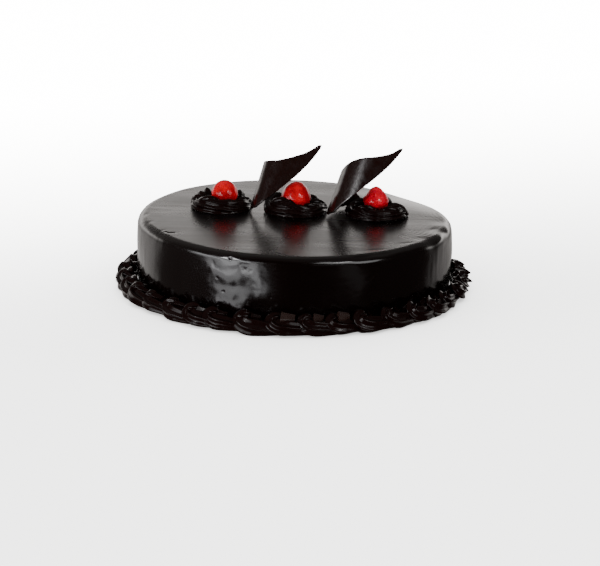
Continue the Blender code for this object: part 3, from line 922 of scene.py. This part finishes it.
def shell_rope(number):
    """One squeeze of the bag, as stations of place, facing, thickness and turn."""
    size = 1 + wander(number, 0.06, 2.4, 0.5) + wander(number, 0.04, 5.3)
    size = size * (1 - 0.14 * spiked(number))
    rope = []
    for share in STATIONS:
        place, facing = shell_place(number, size, share)
        ahead = shell_place(number, size, min(share + 0.01, 1.0))[0]
        behind = shell_place(number, size, max(share - 0.01, 0.0))[0]
        heading = (ahead - behind).normalized()
        facing = (facing - facing.dot(heading) * heading).normalized()
        turned = SHELL_TURN * share + wander(number, 0.3, 1.9)
        rope.append((place, facing, shell_thickness(share) * size, turned))
    return rope


def bed_rope(steps=240):
    """The plain bead of cream that the shells are piped on."""
    rope = []
    for step in range(steps + 1):
        angle = TURN * step / steps
        away = outward(angle)
        swell = 1 + 0.05 * math.sin(19 * angle)
        rope.append((away * BED_RING + UP * BED_RISE, away, BED_ROPE * swell, 0.0))
    return rope


print("stations along a shell:", len(shell_rope(0)))

# %% [markdown]
# Where the hand stops squeezing and pulls the nozzle away, a short end of cream stays on the
# shell. On most shells it is a thin bar. On a few at the front it is thicker, where the cream
# tore off square and shows a paler, duller face. The bar is the same rope with four ridges,
# and those few go into a piece of their own, because a piece has one finish here.

# %% The end on each shell
TIP_FROM, TIP_TO = -2.6 * MM, 4.6 * MM  # along the shell
TIP_RISE, TIP_DROP = 3.4 * MM, 1.4 * MM  # over the shell's middle, and down along the bar
TIP_OUT, TIP_SKEW = 1.2 * MM, 3.6 * MM  # out from the shells' ring, and back in along the bar
TIP_THICK, TIP_THIN = 3.9 * MM, 2.6 * MM  # at its start and at its end
TIP_FACE = math.radians(50)  # how far its flat side looks up
TIP_WHOLE, TIP_SMALL = 1.0, 0.62  # size of the torn ones, and of the others
TORN_AT, TORN_ROUND = math.radians(-83), math.radians(14)  # where the cream tore off square


def torn_off(number):
    off = (shell_angle(number, 0.0) - TORN_AT + math.pi) % TURN - math.pi
    return abs(off) < TORN_ROUND


def tip_rope(number, steps=8):
    """A short bar with flat sides, where the nozzle was pulled away."""
    size = (TIP_WHOLE if torn_off(number) else TIP_SMALL) + wander(number, 0.12, 3.1, 1.0)
    turned = math.pi / 4 + wander(number, 0.25, 1.3)
    rope = []
    for step in range(steps + 1):
        share = step / steps
        along = TIP_FROM + (TIP_TO - TIP_FROM) * share
        away = outward(shell_angle(number, along * size))
        facing = math.sin(TIP_FACE) * UP + math.cos(TIP_FACE) * away
        place = away * (SHELL_RING + TIP_OUT - TIP_SKEW * share)
        place = place + UP * (SHELL_RISE + TIP_RISE - TIP_DROP * share)
        thick = TIP_THICK + (TIP_THIN - TIP_THICK) * share
        rope.append((place, facing, thick * size, turned))
    return rope


torn_ones = [number for number in range(SHELLS) if torn_off(number)]
print("torn ends:", len(torn_ones), "of", SHELLS)

# %% [markdown]
# At the right the bag was jerked outwards at the end of each shell, which drew the cream out
# into a leaf with a sharp point. A leaf is a rope that swells and then thins to nothing. It has
# two ridges, one above and one below, so its back is sharp.

# %% Spikes at the right
SPIKE_FROM, SPIKE_TO = 101.0 * MM, 112.0 * MM  # distance from the middle
SPIKE_RISE, SPIKE_DROP = 9.0 * MM, 3.2 * MM  # height of its root, and down along the leaf
SPIKE_ALONG = 4.0 * MM  # where on its shell it stands
SPIKE_HALF = 3.64 * MM  # times the leaf's share, 0.68 at its thickest: half its height
SPIKED_ENOUGH = 0.25  # a shell gets a spike from this share on


def spike_rope(number, steps=10):
    """A leaf of cream that points outwards, where the bag was jerked away."""
    length = (SPIKE_TO - SPIKE_FROM) * (0.75 + 0.25 * spiked(number))
    rope = []
    for step in range(steps + 1):
        share = step / steps
        along = SPIKE_ALONG + wander(number, 2.0 * MM, 2.1) * share
        rise = SPIKE_RISE - SPIKE_DROP * share + wander(number, 0.8 * MM, 1.3) * share
        place = outward(shell_angle(number, along)) * (SPIKE_FROM + length * share) + UP * rise
        leaf = (0.5 + 1.2 * share) * (1 - share) ** 0.8 + 0.03
        rope.append((place, UP, SPIKE_HALF * leaf, wander(number, 0.5, 2.9)))
    return rope


pointed = [number for number in range(SHELLS) if spiked(number) > SPIKED_ENOUGH]
print("spikes:", len(pointed), "of", SHELLS)

# %% [markdown]
# The bed, the shells and their ends all go through the nozzle. The ends differ from the shells
# only in how many ridges the star has and how deep its grooves are.

# %% Pipe the border
border_settings = {
    "Ridges": SHELL_RIDGES,
    "Groove depth": SHELL_GROOVE,
    "Round": 0.0,
    "Ragged": 0.05 * MM,
    "Wavy": 0.6 * MM,
    "Floor": 0.05 * MM,
    "Wall": BORDER_WALL,
    "Ball radius": 0.0,
}
border_ropes = [shell_rope(number) for number in range(SHELLS)] + [bed_rope()]
piped("piped_border", border_ropes, border_settings, "shell_border")
tip_settings = {**border_settings, "Ridges": 4, "Groove depth": 0.25}
spike_settings = {**border_settings, "Ridges": 2, "Groove depth": 0.5}
thin_ones = [number for number in range(SHELLS) if number not in pointed + torn_ones]
for name, ropes, settings, finish in (
    ("border_torn_tips", [tip_rope(number) for number in torn_ones], tip_settings, torn),
    ("border_tips", [tip_rope(number) for number in thin_ones], tip_settings, piping),
    ("border_spikes", [spike_rope(number) for number in pointed], spike_settings, piping),
):
    ends = grown(path_object(name, ropes), nozzle, settings, finish)
    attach(ends, "root")
    print(name, "pieces:", len(ropes))

# %% [markdown]
# ## The rosettes
# A rosette is the same rope laid in a ring, with the bag turned as it goes, so that the
# ridges swirl in towards the middle. The hand started each one at another side and let the
# rope overlap where it lifted off.

# %% Sizes of the rosettes
# Place, size, azimuth where the rope ends, and pairs of azimuth and height in mm round it.
ROSETTES = {
    "left": (
        (-46.2 * MM, 12.3 * MM), 1.00, 350,
        ((0, 6.0), (45, 7.5), (90, 7.5), (135, 7.5), (180, 6.8), (235, 9.0), (270, 8.5), (315, 7.5)),
    ),
    "centre": (
        (0.0, 9.8 * MM), 1.04, 312,
        (
            (0, 5.6), (45, 6.5), (120, 8.5), (165, 10.5), (205, 9.5), (240, 9.0), (280, 7.5), (308, 5.5),
            (335, 6.0),
        ),
    ),
    "right": (
        (50.4 * MM, 6.2 * MM), 1.01, 275,
        ((25, 4.8), (60, 6.5), (120, 8.5), (180, 6.5), (225, 7.6), (270, 6.4), (320, 6.0)),
    ),
}
ROSETTE_REACH = 19.3 * MM  # from the middle to the rim
ROSETTE_INNER = 6.5 * MM  # radius of the first lap
ROPE_SHARE = 1 / 1.35  # a rope this thick for its height, when it lies a third sunk
ROSETTE_RIDGES, ROSETTE_GROOVE, ROSETTE_LAPS = 10, 0.30, 2.05
OUT_FROM, OUT_TO = 0.12, 0.50  # shares of the way over which the rope moves out to the rim
ROSETTE_BLUNT, ROSETTE_ROUNDED = 0.3, 0.04  # thickness of the very start, and where it is full
LAST_FROM, LAST_THINNED = 0.93, 0.62  # where the end thins, and by how much
ROSETTE_TWIST = 1.12  # turns of the star in each lap
ROSETTE_SWIRL = 1.0  # how much the turning quickens on one side and slows on the other
ROSETTE_FAN = math.radians(100)  # azimuth at which the star turns fastest
# Place, height of the middle over the top, radius, and how much narrower its top is.
CHERRIES = {
    "left": ((-43.9 * MM, 12.3 * MM), 9.4 * MM, 8.4 * MM, 0.05),
    "centre": ((0.5 * MM, 7.4 * MM), 9.8 * MM, 9.45 * MM, 0.10),
    "right": ((50.2 * MM, 6.2 * MM), 9.9 * MM, 8.1 * MM, 0.28),
}
print("rosettes:", ", ".join(ROSETTES), "with", ROSETTE_LAPS, "laps")


# %% Rosette paths
def height_round(heights, angle):
    """Height in mm at this angle, easing from each pair to the next and round to the first."""
    degrees = math.degrees(angle) % 360
    pairs = list(heights) + [(heights[0][0] + 360, heights[0][1])]
    if degrees < pairs[0][0]:
        degrees += 360
    for (start, low), (end, high) in zip(pairs, pairs[1:]):
        if start <= degrees <= end:
            return low + (high - low) * float(ramp(degrees, start, end))


def rosette_rope(place, size, end_degrees, heights, steps=240):
    """A spiral of two laps, the second one out at the rim."""
    rope = []
    last = math.radians(end_degrees)
    for step in range(steps + 1):
        share = step / steps
        angle = last - TURN * ROSETTE_LAPS * (1 - share)
        away = outward(angle)
        height = height_round(heights, angle) * MM * size
        begun = ROSETTE_BLUNT + (1 - ROSETTE_BLUNT) * rounded_end(share, ROSETTE_ROUNDED)
        ended = 1 - LAST_THINNED * float(ramp(share, LAST_FROM, 1.0))
        spread = float(ramp(share, OUT_FROM, OUT_TO))
        thickness = height * ROPE_SHARE * begun * ended * (0.82 + 0.18 * spread)
        outer = ROSETTE_REACH * size - thickness
        ring = ROSETTE_INNER * size + (outer - ROSETTE_INNER * size) * spread
        lift = 0.35 * thickness + 1.0 * MM * float(ramp(share, 0.9, 1.0))
        spot = on_top(place, lift) + away * ring
        swirl = angle - last + ROSETTE_SWIRL * math.sin(angle - ROSETTE_FAN)
        turned = ROSETTE_TWIST * swirl + 0.15 * math.sin(2.6 * angle + last)
        rope.append((spot, away, thickness, turned))
    return rope


print("height at the left one's back: %.1f mm" % height_round(ROSETTES["left"][3], math.pi / 2))

# %% [markdown]
# A swirl of one rope is too regular by itself. Real cream folds: lobes of it climb out of the
# middle, go over the ring and come down outside. Each rosette gets eight or nine of them, set
# where the real ones stand, as short ropes with two ridges through the same nozzle.

# %% Folds on the rosettes
# Each one: azimuth, distance from the middle and height of its top, how far it winds round
# in degrees, and half how high the rope itself is, all lengths in mm.
FOLDS = {
    "left": (
        (104, 14.5, 9.0, 18, 3.4), (130, 16.0, 10.4, 16, 3.9), (150, 16.8, 8.9, 16, 3.6),
        (168, 17.6, 7.6, 14, 3.2), (40, 16.2, 9.4, -10, 4.6), (14, 17.0, 6.4, -12, 3.6),
        (72, 15.0, 8.4, 6, 3.4), (228, 12.0, 9.6, 46, 2.4), (300, 13.5, 7.8, -40, 2.2),
    ),
    "centre": (
        (80, 15.4, 9.0, 8, 3.6), (57, 16.0, 9.0, 4, 3.4), (37, 16.4, 8.4, 2, 3.4),
        (14, 17.2, 7.0, 0, 3.4), (138, 15.8, 9.6, 14, 3.8), (160, 16.2, 9.4, 14, 3.4),
        (222, 13.5, 10.6, 44, 2.4), (246, 11.5, 9.4, 40, 2.0), (322, 14.0, 7.0, -36, 2.0),
    ),
    "right": (
        (56, 15.2, 8.8, 0, 3.0), (28, 16.0, 6.0, 6, 2.8), (6, 16.8, 6.6, 4, 2.6),
        (348, 16.4, 7.2, -6, 2.8), (165, 17.0, 5.2, 10, 2.6), (120, 15.4, 8.6, 12, 3.4),
        (232, 12.5, 8.4, 40, 2.2), (318, 13.5, 7.4, -34, 2.2),
    ),
}
FOLD_START, FOLD_END, FOLD_REACH = 8.0, 20.0, 16.5  # mm from the middle, for a usual fold


def fold_rope(place, fold, steps=18):
    """One fold of cream: up from the middle of the rosette, over its ring and down outside."""
    azimuth, reach, top, wind, half = fold
    rope = []
    for step in range(steps + 1):
        share = step / steps
        # Height and width along the fold: half a sine each, small at the ends.
        arch = math.sin(math.pi * (0.12 + 0.86 * share) ** 0.9)
        leaf = 0.35 + 0.70 * math.sin(math.pi * min(share * 1.06, 1.0)) ** 0.6
        ring = FOLD_START + (FOLD_END - FOLD_START) * share * reach / FOLD_REACH
        away = outward(math.radians(azimuth + wind * (1 - 2 * share)))
        height = (top - half) * arch + 0.4
        spot = on_top(place, height * MM) + away * ring * MM
        facing = (UP + away * (1.6 * share - 0.6)).normalized()
        rope.append((spot, facing, half * leaf * MM, wander(azimuth, 0.25, 1.0)))
    return rope


print("folds:", {name: len(folds) for name, folds in FOLDS.items()})

# %% [markdown]
# The top slopes a little, so the nozzle's floor slopes with it, and the cherry is the ball
# that the cream keeps clear of.

# %% Pipe the rosettes
OVER_TOP, OFF_CHERRY = 0.25 * MM, 0.15 * MM  # what the cream leaves free

for name, (place, size, end_degrees, heights) in ROSETTES.items():
    cherry_place, cherry_rise, cherry_radius, _ = CHERRIES[name]
    settings = {
        "Ridges": ROSETTE_RIDGES,
        "Groove depth": ROSETTE_GROOVE,
        "Round": 0.15,
        "Ragged": 0.12 * MM,
        "Wavy": 1.4 * MM,
        "Floor": CAKE_HEIGHT + OVER_TOP,
        "Floor slope": (TOP_SLOPE_X, TOP_SLOPE_Y, 0.0),
        "Wall": 0.0,
        "Ball": on_top(cherry_place, cherry_rise),
        "Ball radius": cherry_radius + OFF_CHERRY,
    }
    node = "rosette_" + name
    piped("piped_" + node, [rosette_rope(place, size, end_degrees, heights)], settings, node)
    folds = [fold_rope(place, fold) for fold in FOLDS[name]]
    fold_settings = {**settings, "Ridges": 2, "Groove depth": 0.4, "Round": 0.1, "Wavy": 1.0 * MM}
    folded = grown(path_object("folds_" + name, folds), nozzle, fold_settings, piping)
    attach(folded, "root")
    print(folded.name, "folds:", len(folds))

# %% [markdown]
# ## Drops of syrup
# The syrup stands on the cream in tiny beads, each with a bright glint. Placed by hand they
# would look arranged, so a tree scatters them: on faces that look up, in patches, and never
# closer together than the spacing. A fixed seed puts them in the same places on each run.

# %% Drops by Geometry Nodes
DROP_INPUTS = (
    ("Spacing", "NodeSocketFloat"),
    ("Density", "NodeSocketFloat"),
    ("Lowest slope", "NodeSocketFloat"),
    ("Patch size", "NodeSocketFloat"),
    ("Smallest", "NodeSocketFloat"),
    ("Largest", "NodeSocketFloat"),
    ("Seed", "NodeSocketInt"),
    ("Material", "NodeSocketMaterial"),
)
PATCH_LEVEL = 0.52  # noise above this is a patch with drops
BEAD_SUBDIVISIONS, BEAD_FACES = 2, 80
BEAD_FLATNESS = 0.7


def drops_tree():
    """A scatter of flattened beads over the mesh that goes in."""
    tree, given = new_tree("scattered drops", DROP_INPUTS)
    up = add(tree, "GeometryNodeInputNormal").parts()[2]
    steep = up.maths("GREATER_THAN", given["Lowest slope"])
    patch_at = {"Scale": given["Patch size"], "Detail": 1.0}
    patch = add(tree, "ShaderNodeTexNoise", named=patch_at).maths("GREATER_THAN", PATCH_LEVEL)
    named = {
        "Distance Min": given["Spacing"],
        "Density Max": given["Density"],
        "Density Factor": steep * patch,
        "Seed": given["Seed"],
    }
    points = add(
        tree, "GeometryNodeDistributePointsOnFaces", given["Geometry"], named=named,
        distribute_method="POISSON",
    )
    ball = {"Radius": 1.0, "Subdivisions": BEAD_SUBDIVISIONS}
    bead = add(tree, "GeometryNodeMeshIcoSphere", named=ball)
    ranges = {"Min_001": given["Smallest"], "Max_001": given["Largest"], "Seed": given["Seed"]}
    drawn = add(tree, "FunctionNodeRandomValue", named=ranges, whole=True, data_type="FLOAT")
    size = Field(tree, drawn.outputs[1])
    flattened = {"Instance": bead, "Scale": combine(tree, size, size, size * BEAD_FLATNESS)}
    beads = add(tree, "GeometryNodeInstanceOnPoints", points, named=flattened)
    end_tree(tree, beads, given["Material"])
    return tree


drops = drops_tree()
print("drops tree nodes:", len(drops.nodes))


# %% Scatter the drops
def dropped(name, sources, seed, spacing, density):
    """Beads of syrup on copies of these pieces, joined into one object."""
    joined = bmesh.new()
    for source in sources:
        joined.from_mesh(source.data)
    mesh = bpy.data.meshes.new(name)
    joined.to_mesh(mesh)
    joined.free()
    piece = new_object(name, mesh)
    settings = {
        "Spacing": spacing,
        "Density": density,
        "Lowest slope": 0.25,
        "Patch size": 90.0,
        "Smallest": 0.28 * MM,
        "Largest": 0.6 * MM,
        "Seed": seed,
    }
    grown(piece, drops, settings, syrup)
    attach(piece, "root")
    print(name, "beads:", len(piece.data.polygons) // BEAD_FACES)


rosette_pieces = [bpy.data.objects["piped_rosette_" + name] for name in ROSETTES]
dropped("drops_on_rosettes", rosette_pieces, 3, 1.6 * MM, 60000.0)
dropped("drops_on_border", [bpy.data.objects["piped_border"]], 8, 3.2 * MM, 12000.0)

# %% [markdown]
# ## The cherries
# A candied cherry is a ball that has shrunk: a little lopsided, narrower towards its top and
# wrinkled. A fine sphere is pushed in and out along its own normals by noise of two sizes.
# The cherry at the right is the most shrivelled of the three.

# %% Make the cherries
WRINKLES = {"left": 0.05 * MM, "centre": 0.07 * MM, "right": 0.15 * MM}
WRINKLE_SIZE = 1.6 * MM
LUMP_SIZE, LUMP_DEPTH, SHRUNK = 7 * MM, 0.35 * MM, 0.1 * MM


def make_cherry(name, place, rise, radius, taper):
    """One candied cherry, sitting where its solid sits."""
    ball = bmesh.new()
    bmesh.ops.create_icosphere(ball, subdivisions=5, radius=radius)
    middle = on_top(place, rise)
    for vertex in ball.verts:
        point = vertex.co.copy()
        out = point.normalized()
        level = point.z / radius
        narrow = 1 - taper * float(ramp(level, -0.2, 1.0))
        large = noise.noise(point / LUMP_SIZE + middle * 50) * LUMP_DEPTH
        small = noise.noise(point / WRINKLE_SIZE + middle * 90) * WRINKLES[name]
        narrowed = Vector((point.x * narrow, point.y * narrow, point.z))
        vertex.co = narrowed + out * (large + small - SHRUNK) + middle
    mesh = bpy.data.meshes.new("cherry")
    ball.to_mesh(mesh)
    ball.free()
    mesh.materials.append(bright_cherry if name == "right" else cherry_red)
    mesh.shade_smooth()
    piece = new_object("glace_cherry_" + name, mesh)
    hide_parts("cherry_" + name)
    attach(piece, "root")
    return piece


for name, sizes in CHERRIES.items():
    print(make_cherry(name, *sizes).name, "radius %.1f mm" % (sizes[2] / MM))

# %% [markdown]
# ## The sails
# A sail is a triangle of thin chocolate, rolled up tighter at its standing edge than at its
# tip. A cylinder would bend it the same all over, so the sheet is given by the way it faces
# at each distance round it, and its two edges by their height up the axis there. Solidify
# gives it its thickness and Bevel softens the broken edge.

# %% Sizes of the sails
# All in mm, but for the angles. The foot is where distance 0 round the sheet meets the top,
# and the lean is how far the axis tips right and back, in radians. Turns pairs a distance
# with the way the sheet faces there, in degrees. Lower and upper pair it with heights.
SAIL_THICKNESS = 1.3
SAIL_STEP = 0.5
SAILS = {
    "left": {
        "foot": (-27.4, 5.1),
        "lean": (0.290, 0.430),
        "turns": ((0, -80), (7, -42), (12, -14), (16, -5), (50, 3)),
        "lower": (
            (0, 0), (6.7, 1.2), (12.6, 7.6), (16.7, 12.9), (26.3, 26.5), (30.9, 34.6), (34.1, 41.8),
            (36, 47.4),
        ),
        "upper": (
            (0, 31.2), (6.5, 31.5), (12.2, 32.6), (18.4, 35.7), (27.2, 41.3), (31.4, 45.3), (34.1, 48.6),
            (36, 49.2),
        ),
    },
    "right": {
        "foot": (20.3, -2.3),
        "lean": (0.334, 0.250),
        "turns": ((-44, -176), (-30, -160), (-16, -118), (0, -80), (10, -38), (17, -20), (22, -7), (44, 3)),
        "lower": (
            (-35.6, 14.2), (-29.4, 11.1), (-22.5, 7.7), (0, 0), (7.6, 2.6), (11, 8.4), (14.9, 13.5),
            (19.4, 20.9), (23, 26), (27.4, 33.1), (31.6, 40.9), (34.4, 47.8), (35.6, 51.6),
        ),
        "upper": (
            (-35.6, 16.2), (-29.9, 19.1), (0, 29.7), (4.3, 33), (7.5, 35.5), (11, 37.8), (15.9, 40.4),
            (19.1, 41.6), (23.6, 43.8), (27.9, 46.3), (30.7, 48.5), (33.7, 52.2), (35.6, 53.1),
        ),
    },
}
SAIL_COLUMNS, SAIL_ROWS = 120, 20
print("sails:", ", ".join(SAILS))


# %% Bend the sails
def between(pairs, arc):
    """The second numbers of the pairs, straight from each pair to the next."""
    for (arc_a, value_a), (arc_b, value_b) in zip(pairs, pairs[1:]):
        if arc <= arc_b or (arc_b, value_b) == pairs[-1]:
            return value_a + (value_b - value_a) * (arc - arc_a) / (arc_b - arc_a)


def bent(turns, arc):
    """How far the sheet has gone sideways and back, in mm, at a distance round it."""
    steps = 1 + int(abs(arc) / SAIL_STEP)
    sideways = back = 0.0
    for step in range(steps):
        facing = math.radians(between(turns, arc * (step + 0.5) / steps))
        sideways += math.cos(facing) * arc / steps
        back += math.sin(facing) * arc / steps
    return sideways, back


def sail_point(shape, arc, rise):
    """The middle of the sheet at this distance round it and this height up its axis."""
    lean_x, lean_y = shape["lean"]
    axis = Vector((math.tan(lean_x), math.tan(lean_y), 1.0)).normalized()
    across_it = Vector((1, 0, 0))
    across_it = (across_it - axis * axis.dot(across_it)).normalized()
    sideways, back = bent(shape["turns"], arc)
    foot = on_top((shape["foot"][0] * MM, shape["foot"][1] * MM), SAIL_THICKNESS * MM)
    return foot + (sideways * across_it + back * axis.cross(across_it) + rise * axis) * MM


def make_sail(name, shape):
    """The sheet as a grid, given its thickness and a broken edge."""
    first, last = shape["lower"][0][0], shape["lower"][-1][0]
    verts, faces = [], []
    for column in range(SAIL_COLUMNS + 1):
        arc = first + (last - first) * column / SAIL_COLUMNS
        low, high = between(shape["lower"], arc), between(shape["upper"], arc)
        for row in range(SAIL_ROWS + 1):
            verts.append(sail_point(shape, arc, low + (high - low) * row / SAIL_ROWS))
    for column in range(SAIL_COLUMNS):
        for row in range(SAIL_ROWS):
            corner = column * (SAIL_ROWS + 1) + row
            faces.append((corner, corner + SAIL_ROWS + 1, corner + SAIL_ROWS + 2, corner + 1))
    piece = mesh_piece("sail_" + name, verts, faces, sail)
    wall = piece.modifiers.new("thickness", "SOLIDIFY")
    wall.thickness = SAIL_THICKNESS * MM
    wall.offset = 0.0
    edge = piece.modifiers.new("edge", "BEVEL")
    edge.width = 0.3 * MM
    edge.segments = 2
    edge.limit_method = "ANGLE"
    kept_result(piece).set_sharp_from_angle(angle=math.radians(50))
    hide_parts("curl_" + name)
    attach(piece, "root")
    return piece


for name, shape in SAILS.items():
    print(make_sail(name, shape).name)

# %% [markdown]
# ## Floor and light
# Black gloss shows its surroundings, so the light is built for the reflections. The floor is
# not lit at all: it glows by itself, with a painted shadow where the cake stands close over it,
# and neither shows in the gloss nor throws light on the cake, so it can be pale without harm.

# %% Floor
FLOOR_TONE = 4.0  # brightness near the cake, in the scene's own light
FLOOR_FAR = 16.0  # and far behind it
FLOOR_SHADE = 0.12  # m: how near the cake has to be to dim it with painted shadow
FLOOR_SHADED = 0.15  # brightness of the painted shadow right under the cake, as a share
PALE = (1.0, 1.0, 0.99, 1.0)


def make_floor():
    """A pale floor that glows more towards the back, with a painted shadow only close to the cake."""
    bpy.ops.mesh.primitive_circle_add(vertices=96, radius=9.0, fill_type="NGON", location=(0, 0, 0))
    floor = bpy.context.object
    floor.name = "floor"
    made = bpy.data.materials.new("pale_floor")
    made.use_nodes = True
    tree = made.node_tree
    tree.nodes.clear()
    place = tree.nodes.new("ShaderNodeTexCoord")
    x, y = Field(tree, place.outputs["Object"]).parts()[:2]
    along = x * -0.35 + y
    bright = smooth_step(tree, along, -0.1, 0.75, FLOOR_TONE, FLOOR_FAR)
    # Painted contact shadow: ambient occlusion dims the floor's glow near the cake.
    named = {"Distance": FLOOR_SHADE}
    painted_contact_shadow = add(tree, "ShaderNodeAmbientOcclusion", named=named, whole=True, samples=24)
    clear = Field(tree, painted_contact_shadow.outputs["AO"]) * (1 - FLOOR_SHADED) + FLOOR_SHADED
    glow = add(tree, "ShaderNodeEmission", PALE, bright * clear)
    out = tree.nodes.new("ShaderNodeOutputMaterial")
    tree.links.new(glow.socket, out.inputs["Surface"])
    floor.data.materials.append(made)
    floor.visible_glossy = False
    floor.visible_diffuse = False
    floor.visible_shadow = False
    return floor


print("stage:", make_floor().name)

# %% [markdown]
# All lamps are rectangles in front of the cake. A wide soft box with a brighter tube down each
# side gives the grey window on the front left. A higher soft box lights the right, with a dim
# card low under it. Two small strong ones give the white glints on cherries and syrup.

# %% Lamps
COOL_WHITE = (0.97, 0.98, 1.0)
LAMP_LIFT = 0.03  # m: the height on the cake that the elevations are measured from


def soft_box(name, azimuth, low, high, width, distance, radiance, colour=(1, 1, 1)):
    """A lamp facing the cake. Azimuth, the lowest and highest elevation and the width are in
    degrees, as seen from the cake, with azimuth 0 at the front and positive to the right."""
    turn = math.radians(azimuth)
    low_z, high_z = (distance * math.tan(math.radians(edge)) for edge in (low, high))
    data = bpy.data.lights.new(name, "AREA")
    data.shape = "RECTANGLE"
    data.size = 2 * distance * math.tan(math.radians(width / 2))
    data.size_y = high_z - low_z
    data.energy = radiance * math.pi * data.size * data.size_y
    data.color = colour
    lamp = new_object(name, data)
    away = Vector((math.sin(turn), -math.cos(turn), 0.0))
    middle = away * distance + UP * ((low_z + high_z) / 2 + LAMP_LIFT)
    facing = (-away).to_track_quat("-Z", "Z").to_matrix().to_4x4()
    lamp.matrix_world = Matrix.Translation(middle) @ facing
    lamp.visible_camera = False
    return lamp


# Azimuth, lowest and highest elevation, width, distance in metres and radiance.
soft_box("soft_box_left", -46, -19, 26, 44, 1.1, 3.2, COOL_WHITE)
soft_box("tube_left_outer", -57, -19, 26, 9, 1.05, 3.6, COOL_WHITE)
soft_box("tube_left_inner", -32, -19, 26, 9, 1.05, 4.2, COOL_WHITE)
soft_box("soft_box_right", 40, 14, 38, 44, 1.1, 3.6)
soft_box("card_right", 30, -10, 0, 40, 1.1, 0.2)
soft_box("bulb_left", -44, 15, 24, 7, 1.0, 26.0)
soft_box("bulb_right", 42, 33, 40, 9, 1.0, 16.0)

# %% [markdown]
# The rest of the studio is the world's background, whose brightness is a formula of the
# direction. A ray that comes off the gloss meets a white screen behind the cake, brightest a
# little over the horizon, a faint glow above and at the left, and darkness in front. A diffuse
# ray meets an even grey instead, and the camera sees the same pale tone as the floor's far end.

# %% The studio around
DARK_SIDE, WHITE_SCREEN = (0.022, 0.012, 0.009), (1.0, 0.955, 0.92)
EVEN_GREY = (0.85, 0.85, 0.85, 1)


def make_studio():
    """The world, with directions as x to the right, y to the back and z up."""
    world = bpy.data.worlds.new("studio")
    world.use_nodes = True
    tree = world.node_tree
    tree.nodes.clear()
    place = tree.nodes.new("ShaderNodeTexCoord")
    x, y, z = Field(tree, place.outputs["Generated"]).parts()
    flat = (x * x + y * y).maths("SQRT").maths("MAXIMUM", 0.001)
    behind = smooth_step(tree, y / flat, 0.30, 0.60)
    upper = smooth_step(tree, z, 0.16, 0.31, 3.0, 0.10)  # brightness of the screen's upper part
    lower = smooth_step(tree, x / flat, -0.9, 0.9, 0.78, 0.42)  # and of its foot, left to right
    rise = smooth_step(tree, z, -0.08, 0.22)
    above = smooth_step(tree, z, 0.55, 0.90, 0.0, 0.12)
    beside = smooth_step(tree, y / flat, -0.80, -0.30, 0.0, 0.10)
    beside = beside * smooth_step(tree, x / flat, -0.5, 0.5, 1.0, 0.25)
    share = behind * (rise * (upper - lower) + lower) + above + beside
    colour = mixed_colours(tree, share, DARK_SIDE, WHITE_SCREEN)
    # The mix stops at a share of 1, so what is brighter than white is left to the strength.
    mirrored = add(tree, "ShaderNodeBackground", colour, share.maths("MAXIMUM", 1.0))
    soft = add(tree, "ShaderNodeBackground", EVEN_GREY, 1.0)
    shown = add(tree, "ShaderNodeBackground", PALE, FLOOR_FAR)
    path = tree.nodes.new("ShaderNodeLightPath")
    diffuse = Field(tree, path.outputs["Is Diffuse Ray"])
    camera = Field(tree, path.outputs["Is Camera Ray"])
    light = add(tree, "ShaderNodeMixShader", diffuse, mirrored, soft)
    mixed = add(tree, "ShaderNodeMixShader", camera, light, shown)
    out = tree.nodes.new("ShaderNodeOutputWorld")
    tree.links.new(mixed.socket, out.inputs["Surface"])
    bpy.context.scene.world = world
    return world


print("world:", make_studio().name)
